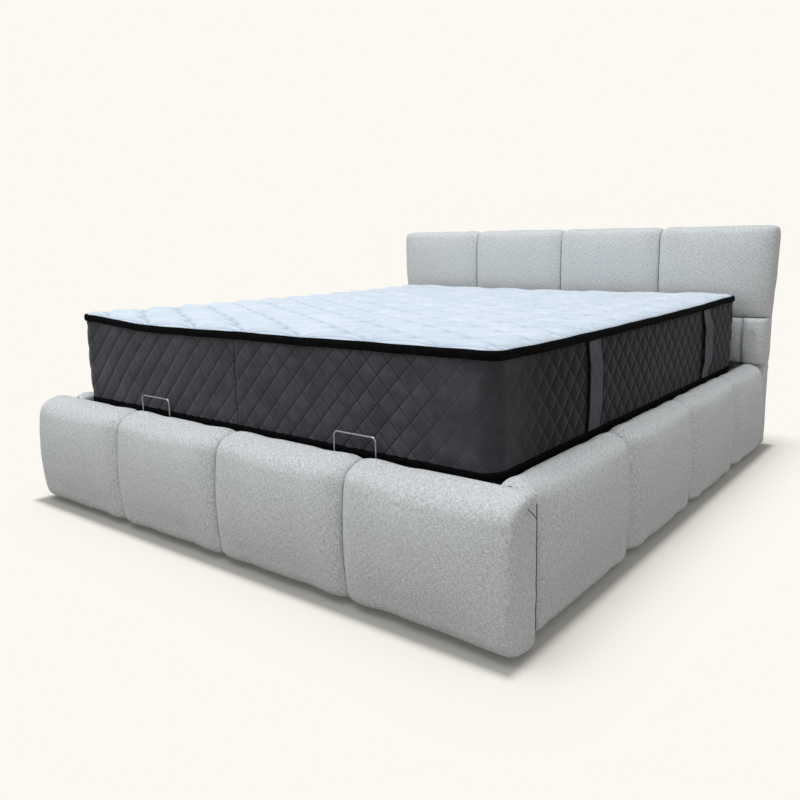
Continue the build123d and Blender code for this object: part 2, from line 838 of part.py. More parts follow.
def build_struts():
    """The gas struts: a tube on the base stud and a rod with its piston on the arm stud."""
    half = eyelet_thickness / 2
    eyelet = rod_x(eyelet_radius, -half, half, 0, 0)
    bore = rod_x(stud_radius + running_clearance, -overrun, overrun, 0, 0)
    tube = eyelet + rod_y(strut_neck_radius, strut_neck_length, strut_tube_start + strut_bottom_wall / 2)
    tube = tube + rod_y(strut_tube_radius, strut_tube_start, strut_tube_end)
    chamber_end = strut_tube_end - gland_length
    tube = tube - rod_y(strut_bore_radius, strut_tube_start + strut_bottom_wall, chamber_end)
    gland = rod_radius + gland_clearance
    tube = tube - rod_y(gland, chamber_end - strut_bottom_wall, strut_tube_end + overrun) - bore
    right = Pos(strut_x, *strut_base_point) * Rot(strut_tilt, 0, 0) * tube
    save("strut_tube_right", right)
    save("strut_tube_left", mirrored(right))
    rod = eyelet + rod_y(strut_neck_radius, strut_neck_length, 2 * strut_neck_length)
    rod = rod + rod_y(rod_radius, strut_neck_length, rod_length)
    rod = rod + rod_y(piston_radius, rod_length - piston_length, rod_length) - bore
    right = Pos(strut_x, *strut_arm_point) * Rot(strut_tilt + 180, 0, 0) * rod
    save("strut_rod_right", right)
    save("strut_rod_left", mirrored(right))


def square_tube(x0, x1, y0, y1, along_x):
    """A hollow deck tube between two corners, open at its ends."""
    outer = block(x0, x1, y0, y1, deck_bottom, deck_top)
    low, high = deck_bottom + tube_wall, deck_top - tube_wall
    if along_x:
        return outer - block(x0 - overrun, x1 + overrun, y0 + tube_wall, y1 - tube_wall, low, high)
    return outer - block(x0 + tube_wall, x1 - tube_wall, y0 - overrun, y1 + overrun, low, high)


def build_deck_frame():
    """The welded frame of square tube under the slats."""
    rail_inner = deck_half - tube_width
    rail = square_tube(rail_inner, deck_half, deck_foot, deck_head, False)
    save("deck_rail_right", rail)
    save("deck_rail_left", mirrored(rail))
    save("deck_foot_tube", square_tube(-rail_inner, rail_inner, deck_foot, deck_foot + tube_width, True))
    save("deck_head_tube", square_tube(-rail_inner, rail_inner, deck_head - tube_width, deck_head, True))
    centre = square_tube(
        -tube_width / 2, tube_width / 2, deck_foot + tube_width, deck_head - tube_width, False,
    )
    save("deck_centre_tube", centre)
    crosses = []
    for share in cross_tube_shares:
        y = deck_foot + (deck_head - deck_foot) * share
        crosses.append(square_tube(tube_width / 2, rail_inner, y - tube_width / 2, y + tube_width / 2, True))
    save("deck_cross_tubes", both_sides(crosses))


def build_deck_brackets():
    """The plates welded to the deck rails, with lugs for the arm pin and the track bush."""
    strip_low = (crank_point[0] - lug_radius, deck_bottom)
    strip_high = (bush_point[0] + 2 * lug_radius, deck_top)
    strip = Pos((strip_low[0] + strip_high[0]) / 2, (strip_low[1] + strip_high[1]) / 2) * Rectangle(
        strip_high[0] - strip_low[0], strip_high[1] - strip_low[1],
    )
    lug = Polygon(
        (bush_point[0] - bracket_nose_share * lug_radius, deck_bottom + tube_wall),
        (bush_point[0] + 2 * lug_radius, deck_bottom + tube_wall),
        (bush_point[0] + lug_radius, bush_point[1]),
        (bush_point[0] - lug_radius, bush_point[1]),
        align=None,
    )
    thickness = bracket_outer - deck_half
    plate = plate_x(strip, deck_half, thickness) + plate_x(lug, deck_half, thickness)
    for point in (crank_point, bush_point):
        plate = plate + rod_x(lug_radius, deck_half, bracket_outer, *point)
    bore = pin_radius + running_clearance
    for point in (crank_point, bush_point):
        plate = plate - rod_x(bore, deck_half - overrun, bracket_outer + overrun, *point)
    save("deck_bracket_right", plate)
    save("deck_bracket_left", mirrored(plate))


def build_bushes():
    """The nylon bushes that run in the tracks, each on its headed pin."""
    start = bracket_outer + bush_inset
    stop = start + bush_length
    pin = rod_x(pin_radius, deck_half + pin_face_gap, stop + bush_gap, *bush_point)
    pin = pin + rod_x(bush_head_radius, stop + bush_gap, stop + bush_gap + bush_head_thickness, *bush_point)
    pin = pin + rod_x(bush_head_radius, bracket_outer, start - bush_gap, *bush_point)
    bush = rod_x(bush_radius, start, stop, *bush_point)
    bush = bush - rod_x(pin_radius + running_clearance, start - overrun, stop + overrun, *bush_point)
    save("track_bushes", both_sides([pin, bush]))


slat_bottom = deck_top + holder_floor + holder_play / 2
slat_bow = mattress_bottom - slat_crown_clearance - slat_thickness - slat_bottom


def slat_places():
    """Middle of each slat along the deck."""
    first = deck_foot + tube_width + slat_width
    last = deck_head - tube_width - slat_width
    step = (last - first) / (slat_count - 1)
    return [first + step * index for index in range(slat_count)]


def build_slats():
    """Two columns of sprung slats, bowed upwards, in rubber holders."""
    inner_end = centre_web / 2 + holder_play
    outer_end = deck_half - holder_wall - holder_play
    middle = (inner_end + outer_end) / 2
    crown = slat_bottom + slat_bow
    low = ThreePointArc((inner_end, 0, slat_bottom), (middle, 0, crown), (outer_end, 0, slat_bottom))
    top = ThreePointArc(
        (outer_end, 0, slat_bottom + slat_thickness),
        (middle, 0, crown + slat_thickness),
        (inner_end, 0, slat_bottom + slat_thickness),
    )
    sides = [
        Line((outer_end, 0, slat_bottom), (outer_end, 0, slat_bottom + slat_thickness)),
        Line((inner_end, 0, slat_bottom + slat_thickness), (inner_end, 0, slat_bottom)),
    ]
    face = Face(Wire([low, sides[0], top, sides[1]]))
    slat = extrude(face, slat_width / 2, dir=(0, 1, 0), both=True)
    save("slats", both_sides([Pos(0, y, 0) * slat for y in slat_places()]))
    half = slat_width / 2 + holder_play / 2
    roof = slat_bottom + slat_thickness + holder_play
    outer = block(
        deck_half - tube_width, deck_half, -half - holder_wall, half + holder_wall,
        deck_top, roof + holder_roof,
    ) - block(
        deck_half - tube_width - overrun, deck_half - holder_wall, -half, half,
        deck_top + holder_floor, roof,
    )
    centre_half = centre_web / 2 + slat_end_reach
    centre = block(
        -centre_half, centre_half, -half - holder_wall, half + holder_wall, deck_top, roof + holder_roof,
    )
    for side in (1, -1):
        near, far = sorted((side * centre_web / 2, side * (centre_half + overrun)))
        centre = centre - block(near, far, -half, half, deck_top + holder_floor, roof)
    holders = []
    for y in slat_places():
        holders += both_sides([Pos(0, y, 0) * outer]) + [Pos(0, y, 0) * centre]
    save("slat_holders", holders)


def build_retainers():
    """Two wire loops at the foot that keep the mattress on the raised deck."""
    loop_y = (foot_inner + mattress_foot) / 2
    start_y = deck_foot - pad_clearance
    loops = []
    for middle in loop_places:
        left, right = middle - loop_width / 2, middle + loop_width / 2
        route = [
            (left, start_y, loop_foot_height),
            (left, loop_y, loop_foot_height),
            (left, loop_y, loop_top - wire_radius),
            (right, loop_y, loop_top - wire_radius),
            (right, loop_y, loop_foot_height),
            (right, start_y, loop_foot_height),
        ]
        bend = (start_y - loop_y) * loop_bend_share
        path = FilletPolyline(*route, radius=[bend, loop_corner, loop_corner, bend])
        loops.append(sweep(Plane(route[0], z_dir=(0, -1, 0)) * Circle(wire_radius), path=path))
    save("mattress_retainers", loops)


def rounded_slab(inset, z0, z1):
    """A slab with the mattress's rounded corners, set in from its outer size."""
    width = mattress_width - 2 * inset
    length = mattress_length - 2 * inset
    sketch = RectangleRounded(width, length, mattress_corner - inset)
    middle = (mattress_foot + mattress_head) / 2
    return Pos(0, middle, z0) * extrude(sketch, z1 - z0)


def build_mattress():
    """The mattress in layers: base cloth, core, quilted border, crowned top, tapes, handles."""
    top = mattress_bottom + mattress_thickness
    border_low = mattress_bottom + base_thickness
    border_high = top - top_panel_thickness
    groove_low = tape_ring(mattress_bottom, layer_gap)
    groove_high = tape_ring(border_high - tape_width / 2, layer_gap)
    base = rounded_slab(tape_proud, mattress_bottom, border_low - layer_gap) - groove_low
    save("mattress_base_cover", base)
    inside = tape_proud + border_thickness
    core = rounded_slab(inside + layer_gap, border_low, border_high)
    save("mattress_core", core)
    hole = rounded_slab(inside, border_low - overrun, border_high + overrun)
    border = rounded_slab(tape_proud, border_low, border_high) - hole
    save("mattress_border", border - groove_low - groove_high)
    middle = (mattress_foot + mattress_head) / 2
    panel_low = border_high + layer_gap
    sections = []
    for inset_share, height_share in top_profile_shares:
        inset = tape_proud + top_inset * inset_share
        outline = RectangleRounded(
            mattress_width - 2 * inset, mattress_length - 2 * inset, mattress_corner,
        )
        sections.append(Pos(0, middle, panel_low + (top - panel_low) * height_share) * outline)
    save("mattress_top_panel", loft(sections, ruled=True) - groove_high)
    save("mattress_tapes", [tape_ring(mattress_bottom, 0), tape_ring(border_high - tape_width / 2, 0)])


def tape_ring(low, extra):
    """The bound edge round the mattress, or with extra its groove."""
    depth = tape_proud * 2
    outer = rounded_slab(-extra, low - extra, low + tape_width + extra)
    return outer - rounded_slab(depth + extra, low - overrun, low + tape_width + overrun)


def build_handles():
    """Carrying straps from tape to tape, sewn on at both ends, two on each long side."""
    face = mattress_width / 2 - tape_proud
    low = mattress_bottom + tape_width + handle_end_gap
    high = mattress_bottom + mattress_thickness - top_panel_thickness - tape_width / 2 - handle_end_gap
    straps = []
    for y in handle_places:
        back, front = y - handle_width / 2, y + handle_width / 2
        strap = block(face + handle_gap, face + handle_gap + handle_thickness, back, front, low, high)
        for z0, z1 in ((low, low + handle_stitch), (high - handle_stitch, high)):
            strap = strap + block(face, face + handle_gap + handle_thickness / 2, back, front, z0, z1)
        straps.append(strap)
    save("mattress_handles", both_sides(straps))


build_boards()
build_headboard_covers()
build_footboard_pads()
build_side_pads()
build_headboard_pads()
build_brackets_and_fixings()
build_ledges()
build_floor()
build_hinge_plate()
build_guide_track()
build_pins()
build_arms()
build_struts()
build_deck_frame()
build_deck_brackets()
build_bushes()
build_slats()
build_retainers()
build_mattress()
build_handles()
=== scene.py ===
# %% [markdown]
# # An ottoman storage bed
# A double-size bed frame in channel-padded tweed, a quilted mattress on a steel deck, and a
# deck that lifts on gas struts to open the store below. The measured frame is loaded first:
# every piece below is placed by it, so nothing has to be fitted by eye. The soft goods are
# then made over it one kind at a time, and the steel and wood only get their finishes.

# %% Load the measured frame
import json
import math

import bmesh
import bpy
import numpy as np
from mathutils import Matrix, Vector, kdtree, noise


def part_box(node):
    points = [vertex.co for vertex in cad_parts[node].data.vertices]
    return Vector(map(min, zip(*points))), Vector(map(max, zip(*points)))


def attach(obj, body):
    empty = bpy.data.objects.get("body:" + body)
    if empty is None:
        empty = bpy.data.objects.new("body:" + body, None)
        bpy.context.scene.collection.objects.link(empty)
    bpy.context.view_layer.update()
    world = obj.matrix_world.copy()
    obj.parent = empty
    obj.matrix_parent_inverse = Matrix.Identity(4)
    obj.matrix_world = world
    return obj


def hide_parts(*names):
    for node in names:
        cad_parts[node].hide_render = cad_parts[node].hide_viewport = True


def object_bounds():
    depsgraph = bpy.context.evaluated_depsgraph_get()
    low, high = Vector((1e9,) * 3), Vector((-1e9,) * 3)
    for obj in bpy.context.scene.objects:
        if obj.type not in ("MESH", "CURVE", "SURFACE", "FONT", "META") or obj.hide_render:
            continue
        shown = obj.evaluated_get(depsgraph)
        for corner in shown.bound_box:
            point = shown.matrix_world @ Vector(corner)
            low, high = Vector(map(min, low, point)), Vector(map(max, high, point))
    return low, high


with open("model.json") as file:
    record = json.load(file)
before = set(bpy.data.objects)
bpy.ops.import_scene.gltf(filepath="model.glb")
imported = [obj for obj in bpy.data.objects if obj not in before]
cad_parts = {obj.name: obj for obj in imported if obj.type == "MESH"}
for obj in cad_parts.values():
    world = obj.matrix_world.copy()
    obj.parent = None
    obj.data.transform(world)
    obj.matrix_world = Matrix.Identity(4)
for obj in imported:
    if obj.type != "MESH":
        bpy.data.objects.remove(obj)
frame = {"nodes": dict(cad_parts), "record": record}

cad_box = [list(corner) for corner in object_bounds()]
nodes = frame["nodes"]
record = frame["record"]
body_of = {node: body for body, group in record["behaviour"]["bodies"].items() for node in group}
slot_of = {part["node"]: part["material_slot"] for part in record["subparts"]}
print(len(nodes), "nodes, frame box", [[round(value, 3) for value in corner] for corner in cad_box])

# %% [markdown]
# ## Small tools
# An operator works on everything that is selected, and loading leaves the frame selected.
# So each step starts by deselecting all and picking one piece. A soft piece is finished in
# the same way each time: it takes its material, stands for its plain solid, and rides on
# that solid's body.

# %% Pick a piece, copy a solid, finish a piece
solid_weld = 0.00002


def pick(piece):
    bpy.ops.object.select_all(action="DESELECT")
    piece.select_set(True)
    bpy.context.view_layer.objects.active = piece
    return piece


def edit_whole(piece, *steps):
    """Takes steps on all of a piece's mesh, in edit mode."""
    pick(piece)
    bpy.ops.object.mode_set(mode="EDIT")
    bpy.ops.mesh.select_all(action="SELECT")
    for step in steps:
        step()
    bpy.ops.object.mode_set(mode="OBJECT")


def weld(gap):
    return lambda: bpy.ops.mesh.remove_doubles(threshold=gap)


def face_outwards():
    bpy.ops.mesh.normals_make_consistent(inside=False)


def joined(pieces):
    """Makes one piece of several. It keeps the first one's name."""
    pick(pieces[0])
    for piece in pieces[1:]:
        piece.select_set(True)
    bpy.ops.object.join()
    return bpy.context.object


def solid_copy(node, name):
    """A welded copy of a frame solid, free of its body."""
    piece = bpy.data.objects.new(name, nodes[node].data.copy())
    bpy.context.scene.collection.objects.link(piece)
    piece.data.materials.clear()
    edit_whole(piece, weld(solid_weld))
    return piece


def values_of(members, key, width=1, kind=float):
    """One property of every vertex, edge, face or corner of a mesh, as an array."""
    flat = np.empty(len(members) * width, dtype=kind)
    members.foreach_get(key, flat)
    return flat.reshape(-1, width) if width > 1 else flat


def places(piece):
    return values_of(piece.data.vertices, "co", 3)


def set_places(piece, spots):
    piece.data.vertices.foreach_set("co", np.ascontiguousarray(spots, dtype=np.float32).ravel())
    piece.data.update()


def facings(piece):
    """The piece's vertex normals."""
    return values_of(piece.data.vertex_normals, "vector", 3, np.float32).astype(float)


def unit(values):
    return np.clip(values, 0.0, 1.0)


def eased(share):
    """A smooth start and end for a share that grows from 0 to 1."""
    return share * share * (3 - 2 * share)


def apply_modifiers(piece):
    pick(piece)
    for modifier in list(piece.modifiers):
        bpy.ops.object.modifier_apply(modifier=modifier.name)


def modified(piece, kind, **settings):
    """Adds a modifier with its settings, and applies it."""
    modifier = piece.modifiers.new(kind.lower(), kind)
    for key, value in settings.items():
        setattr(modifier, key, value)
    apply_modifiers(piece)


def give(piece, *finishes):
    """Puts finishes in the place of the piece's own."""
    piece.data.materials.clear()
    for finish in finishes:
        piece.data.materials.append(finish)


def settle(piece):
    """Puts the piece's place into its mesh, so that its object lies at the origin."""
    pick(piece)
    bpy.ops.object.transform_apply(location=True, rotation=True, scale=True)
    return piece


def finish_piece(piece, finish, stands_for):
    """Material, smooth shading and body of a finished piece; the solid it stands for is hidden."""
    if finish is not None:
        give(piece, finish)
    pick(piece)
    bpy.ops.object.shade_smooth()
    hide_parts(*stands_for)
    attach(piece, body_of[stands_for[0]])
    print(piece.name, len(piece.data.polygons), "faces")
    return piece


# %% [markdown]
# ## The camera
# The bed is seen from beyond its near foot corner, a little above the mattress. The lens
# and place were worked out from the corners of the bed in the picture. The picture's
# optical centre lies a little off its middle, as when an edge was trimmed, and a small
# shift takes that up.

# %% Camera
picture_px = 800
focal_px = 766.3
centre_offset_px = (38.0, -32.0)
eye = Vector((1.874, -2.554, 0.966))
heading, tilt, roll = -0.635, -0.164, -0.012

sensor_mm = 36.0
bpy.ops.object.camera_add(location=eye)
camera = bpy.context.object
camera.name = "room_camera"
aim = (
    Matrix.Rotation(-heading, 3, "Z")
    @ Matrix.Rotation(math.pi / 2 + tilt, 3, "X")
    @ Matrix.Rotation(roll, 3, "Z")
)
camera.rotation_euler = aim.to_euler()
camera.data.sensor_width = sensor_mm
camera.data.lens = sensor_mm * focal_px / picture_px
camera.data.shift_x = -centre_offset_px[0] / picture_px
camera.data.shift_y = centre_offset_px[1] / picture_px
camera.data.clip_end = 200.0
bpy.context.scene.camera = camera
bpy.context.scene.view_settings.view_transform = "Standard"
print("lens", round(camera.data.lens, 2), "mm")

# %% [markdown]
# ## Shader sums in plain Python
# A finish is a sum of patterns: threads, grain, scratches. Written as nodes by hand such
# a sum is long, so a small class wraps a socket and turns +, - and * into nodes. Every
# other node comes from one method, which takes its type, its settings and its inputs.

# %% Wrapped sockets


def sums(operation):
    """A sum and its reflected form, for a number on the left."""
    return (
        lambda self, other: self.maths(operation, other),
        lambda self, other: self.maths(operation, other, flip=True),
    )


class Flow:
    """A node's output that can be used in sums."""

    def __init__(self, recipe, socket):
        self.recipe = recipe
        self.socket = socket

    def maths(self, operation, *values, flip=False):
        values = (*values, self) if flip else (self, *values)
        inputs = dict(enumerate(values))
        return self.recipe.add("Math", {"operation": operation}, inputs)

    __add__, __radd__ = sums("ADD")
    __sub__, __rsub__ = sums("SUBTRACT")
    __mul__, __rmul__ = sums("MULTIPLY")

    def __abs__(self):
        return self.maths("ABSOLUTE")

    def waves(self, pitch):
        """A sine that crosses 0 once in each pitch."""
        return (self * (math.pi / pitch)).maths("SINE")

    def between(self, low, high):
        """0 below low, 1 above high, and a smooth rise from one to the other."""
        inputs = {"Value": self, "From Min": low, "From Max": high}
        return self.recipe.add("MapRange", {"interpolation_type": "SMOOTHSTEP"}, inputs)

    def band(self, rise, fall):
        """0, then 1 beyond the first stretch, then 0 again beyond the second."""
        return self.between(*rise) * (1.0 - self.between(*fall))


class Recipe:
    """The node tree of a new material, or of the world."""

    def __init__(self, name, world=None):
        self.material = world or bpy.data.materials.new(name)
        self.material.use_nodes = True
        self.tree = self.material.node_tree
        self.tree.nodes.clear()

    def add(self, kind, settings=None, inputs=None, out=0):
        node = self.tree.nodes.new("ShaderNode" + kind)
        for key, value in (settings or {}).items():
            setattr(node, key, value)
        for key, value in (inputs or {}).items():
            socket = node.inputs[key]
            if isinstance(value, Flow):
                self.tree.links.new(value.socket, socket)
            else:
                socket.default_value = (*value, 1.0) if socket.type == "RGBA" else value
        return Flow(self, node.outputs[out])

    def place(self):
        """Places on the piece, in metres."""
        return self.add("TexCoord", out="Object")

    def cloth_place(self):
        """Places on the cloth, in metres, from the piece's own map."""
        return self.add("UVMap", {"uv_map": "cloth"})

    def split(self, vector):
        parts = self.add("SeparateXYZ", inputs={0: vector}).socket.node
        return [Flow(self, parts.outputs[index]) for index in range(3)]

    def stretched(self, vector, scale):
        inputs = {"Vector": vector, "Scale": scale}
        return self.add("Mapping", inputs=inputs)

    def speckle(self, vector, scale, detail=2.0, rough=0.5):
        inputs = {"Vector": vector, "Scale": scale, "Detail": detail, "Roughness": rough}
        return self.add("TexNoise", inputs=inputs)

    def blend(self, share, first, second):
        """One colour into another."""
        return self.add("Mix", {"data_type": "RGBA"}, {0: share, 6: first, 7: second}, out=2)

    def bump(self, height, depth, strength=1.0):
        return self.add("Bump", inputs={"Height": height, "Distance": depth, "Strength": strength})

    def surface(self, **sockets):
        """The closing shader. A socket's spaces are written as underscores."""
        inputs = {key.replace("_", " "): value for key, value in sockets.items()}
        return self.close(self.add("BsdfPrincipled", inputs=inputs))

    def close(self, shader, kind="Material"):
        """Links the last shader to the output."""
        output = self.tree.nodes.new("ShaderNodeOutput" + kind)
        self.tree.links.new(shader.socket, output.inputs["Surface"])
        return self.material


def tone(red, green, blue):
    """A screen colour, 0 to 255, as the light values that a shader takes."""
    def linear(value):
        value /= 255.0
        return value / 12.92 if value <= 0.04045 else ((value + 0.055) / 1.055) ** 2.4
    return tuple(linear(value) for value in (red, green, blue))


print("shader tools ready")

# %% [markdown]
# ## Floor, backdrop and light
# A studio sweep of cream paper. The paper takes the bed's shadow close to it, and a little
# further out it turns into the same cream as the backdrop, so that no horizon shows. Right
# at the edge of the bed a dark contact shadow is painted into the paper's colour. Light
# that bounces off the floor comes from a duller paper, since a white one would light the
# pads from below. One broad lamp stands high on the foot's left, and the sky fills the rest.

# %% Backdrop and floor
cream = tone(252, 249, 242)
shadow_share = 0.84
shadow_reach = (-0.06, 0.30)
# painted contact shadow: how far from the bed the paper is painted darker, its tone and strength
contact_shadow_reach = (-0.02, 0.040)
floor_size = 80.0
half_bed = (cad_box[1][0], cad_box[1][1], 0.0)
sky_strength = 0.66
sky_tone = tone(250, 252, 255)
paper_tone = tone(246, 240, 229)
contact_shadow_tone = tone(84, 82, 78)
bounce_tone = tone(156, 152, 145)
contact_shadow_share = 0.9

world = bpy.data.worlds.new("studio")
bpy.context.scene.world = world
sky = Recipe("studio", world)
fill_light = sky.add("Background", inputs={"Color": sky_tone, "Strength": sky_strength})
backdrop = sky.add("Background", inputs={"Color": cream})
seen, through = (sky.add("LightPath", out=f"Is {kind} Ray") for kind in ("Camera", "Transmission"))
picture_ray = seen.maths("MAXIMUM", through)
sky.close(sky.add("MixShader", inputs={0: picture_ray, 1: fill_light, 2: backdrop}), "World")


def paper_floor():
    recipe = Recipe("cream_paper")

    def vectors(operation, first, second=(0.0, 0.0, 0.0)):
        return recipe.add("VectorMath", {"operation": operation}, {0: first, 1: second})

    beyond = vectors("MAXIMUM", vectors("SUBTRACT", vectors("ABSOLUTE", recipe.place()), half_bed))
    away = recipe.add("VectorMath", {"operation": "LENGTH"}, {0: beyond}, out="Value")
    # painted contact shadow: the paper's colour is darkened next to the bed, and less of its glow
    # shows there
    contact_shadow = 1.0 - away.between(*contact_shadow_reach)
    lit = (1.0 - (1.0 - away.between(*shadow_reach)) * shadow_share) * (1.0 - contact_shadow * contact_shadow_share)
    colour = recipe.blend(contact_shadow * contact_shadow_share, paper_tone, contact_shadow_tone)
    paper = recipe.add("BsdfDiffuse", inputs={"Color": colour})
    glow = recipe.add("Emission", inputs={"Color": cream, "Strength": 1.0})
    dull = recipe.add("BsdfDiffuse", inputs={"Color": bounce_tone})
    camera_ray = recipe.add("LightPath", out="Is Camera Ray")
    shown_paper = recipe.add("MixShader", inputs={0: lit, 1: paper, 2: glow})
    return recipe.close(recipe.add("MixShader", inputs={0: camera_ray, 1: dull, 2: shown_paper}))


bpy.ops.mesh.primitive_plane_add(size=floor_size, location=(0.0, 0.0, 0.0))
floor = bpy.context.object
floor.name = "studio_floor"
give(floor, paper_floor())
print("floor", floor_size, "m")

# %% Lamp
lamp_aim = Vector((0.0, 0.0, 0.3))
lamp_way = Vector((-0.14, -0.32, 0.92)).normalized()
lamp_away = 7.2
lamp_size = 5.0
lamp_strength = 0.56
lamp_tint = (0.93, 0.985, 1.05)
lamp_place = lamp_aim + lamp_way * lamp_away
lamp_watts = (math.pi * lamp_away) ** 2 * lamp_strength
bpy.ops.object.light_add(type="AREA", location=lamp_place)
lamp = bpy.context.object
lamp.name = "soft_lamp"
lamp.data.shape = "DISK"
lamp.data.size = lamp_size
lamp.data.energy = lamp_watts
lamp.data.color = lamp_tint
lamp.rotation_euler = (lamp_aim - lamp_place).to_track_quat("-Z", "Y").to_euler()
print("lamp", round(lamp_watts), "W at", [round(value, 2) for value in lamp_place])

# %% [markdown]
# ## The upholstery tweed
# The bed is covered in a chunky two-tone weave: thick pale yarns crossing at right
# angles, each with darker slubs. It could be an image, but a woven pattern is simple to
# write: two sine waves give the yarns, long thin speckles along each yarn give the slubs,
# and a slow patchwork says which direction shows. The pattern follows a cloth map in
# metres, so that the yarns run along and across each pad.

# %% Tweed
wander_scale, wander_share = 26.0, 1.6
slub_fine, slub_long, patch_size = 1.25, 0.24, 0.8
slub_share, knot_share = 0.80, 0.20
slub_relief, knot_relief = 1.1, 0.7
cast_scale, cast_share, cast_tone = 3.1, 0.10, tone(222, 219, 210)
yarn_wide = 0.0027


def tweed(name, pale, dark, yarn, depth):
    recipe = Recipe(name)
    cloth = recipe.cloth_place()
    wander = recipe.speckle(cloth, wander_scale, 1.0)
    across, along, _ = recipe.split(cloth)
    drift = (wander - 0.5) * (yarn * wander_share)
    warp = (across + drift).waves(yarn)
    weft = (along + drift).waves(yarn)
    knots = abs(warp * weft)
    fine, long = slub_fine / yarn, slub_long / yarn
    warp_slub = recipe.speckle(recipe.stretched(cloth, (fine, long, 1.0)), 1.0, 2.0, 0.55)
    weft_slub = recipe.speckle(recipe.stretched(cloth, (long, fine, 1.0)), 1.0, 2.0, 0.55)
    patch = recipe.speckle(cloth, patch_size / yarn, 1.0).between(0.42, 0.58)
    slub = warp_slub * patch + weft_slub * (1.0 - patch)
    shade = slub.between(0.38, 0.62) * slub_share + knots * knot_share
    cast = recipe.speckle(cloth, cast_scale, 2.0)
    mixed = recipe.blend(shade, dark, pale)
    tinted = recipe.blend(cast.between(0.3, 0.7) * cast_share, mixed, cast_tone)
    relief = knots * knot_relief + slub * slub_relief
    normal = recipe.bump(relief, depth)
    return recipe.surface(
        Base_Color=tinted, Roughness=0.92, Normal=normal, Sheen_Weight=0.18,
        Sheen_Roughness=0.5, Specular_IOR_Level=0.18,
    )


upholstery = tweed("pad_tweed", tone(252, 253, 251), tone(184, 186, 185), yarn_wide, 0.0012)
cover_tweed = tweed("cover_tweed", tone(248, 249, 247), tone(186, 188, 187), yarn_wide, 0.0008)
print("tweed", upholstery.name, cover_tweed.name)

# %% [markdown]
# ## The channel pads
# Each pad is foam under cloth that is sewn to its neighbours and pulled over the board. A
# copy of the solid pad is made a little smaller, remeshed into even squares and given to
# the cloth solver: the back, the foot and the sewn edges are held, air pressure swells
# the rest, and a cap keeps the swelling to what foam would give. All pads are solved in
# the same run of frames, which is much quicker than one after the other.

# %% The pads, which way they face and how their ends are sewn
pad_grid = 0.011
foam_undersize = 0.0035
even_factor, even_passes = 0.5, 5
pads_in_row = 4


def pad_entry(piece, node, facing, along, ends):
    spots = places(piece)
    return {
        "piece": piece, "node": node, "low": spots.min(axis=0), "high": spots.max(axis=0),
        "facing": np.array(facing, dtype=float), "along": along, "ends": ends,
    }


pads = []
long_rows = (("footboard_pad", "foot_seam", None), ("headboard_top_pad", "head_seam", "head_end"))
for index in range(1, pads_in_row + 1):
    first, last = index == 1, index == pads_in_row
    for row, seam, outer in long_rows:
        node = f"{row}_{index}"
        ends = (outer if first else seam, outer if last else seam)
        pads.append(pad_entry(solid_copy(node, node + "_cover"), node, (0, -1, 0), 0, ends))
    for side, facing in (("left", -1), ("right", 1)):
        node = f"side_pad_{side}_{index}"
        ends = ("rail_corner" if first else "rail_seam", None if last else "rail_seam")
        pads.append(pad_entry(solid_copy(node, node + "_cover"), node, (facing, 0, 0), 1, ends))
print(len(pads), "long pads")

# %% [markdown]
# The lower row of the headboard and the two cheeks beside the rails are one node of
# separate solids. They are split apart, so that each gets its own squares and its seams
# stay sharp, and are joined again when they are done.

# %% Split the lower row
cheek_top = 0.41
same_place = 0.001
row = solid_copy("headboard_middle_pads", "lower_row")
edit_whole(row, lambda: bpy.ops.mesh.separate(type="LOOSE"))
row_pieces = sorted(
    bpy.context.selected_objects, key=lambda piece: tuple(places(piece).mean(axis=0)),
)
outer_x = max(np.abs(places(piece)[:, 0]).max() for piece in row_pieces)
for index, piece in enumerate(row_pieces):
    piece.name = f"lower_row_{index}"
    spots = places(piece)
    if spots[:, 2].max() < cheek_top:
        facing, along = (float(np.sign(spots[:, 0].mean())), 0, 0), 2
        ends = ("cheek_end", "cheek_end")
    else:
        facing, along = (0, -1, 0), 0
        reach = (spots[:, 0].min(), spots[:, 0].max())
        ends = tuple("row_end" if outer_x - abs(end) < same_place else "row_seam" for end in reach)
    pads.append(pad_entry(piece, "headboard_middle_pads", facing, along, ends))
print(len(row_pieces), "pieces in the lower row")

# %% Cut the foam smaller and give it even squares
for pad in pads:
    piece = pick(pad["piece"])
    piece.data.remesh_voxel_size = pad_grid
    bpy.ops.object.voxel_remesh()
    modified(piece, "SMOOTH", factor=even_factor, iterations=even_passes)
    set_places(piece, places(piece) - facings(piece) * foam_undersize)
    pad["start"] = places(piece)
print("squares", sum(len(pad["piece"].data.polygons) for pad in pads))

# %% Hold the sewn edges and swell the rest
swell_cap = 0.012
held_edge = 0.010
held_foot = 0.035
held_back_share = 0.45
back_fade_share = 0.15
foot_fade = 0.02
least_weight = 0.01
solver_frames = 20
air_pressure = 4.0


def hold_weights(pad):
    """1 where the cloth is stapled or sewn, 0 where it is free."""
    spots, low, high, facing = pad["start"], pad["low"], pad["high"], pad["facing"]
    thick = abs((high - low) @ facing)
    depth = spots @ facing - min(low @ facing, high @ facing)
    held = unit((thick * held_back_share - depth) / (thick * back_fade_share))
    held = np.maximum(held, unit((low[2] + held_foot - spots[:, 2]) / foot_fade))
    run = spots[:, pad["along"]]
    edge = np.minimum(run - low[pad["along"]], high[pad["along"]] - run)
    return np.maximum(held, unit((held_edge * 2 - edge) / held_edge))


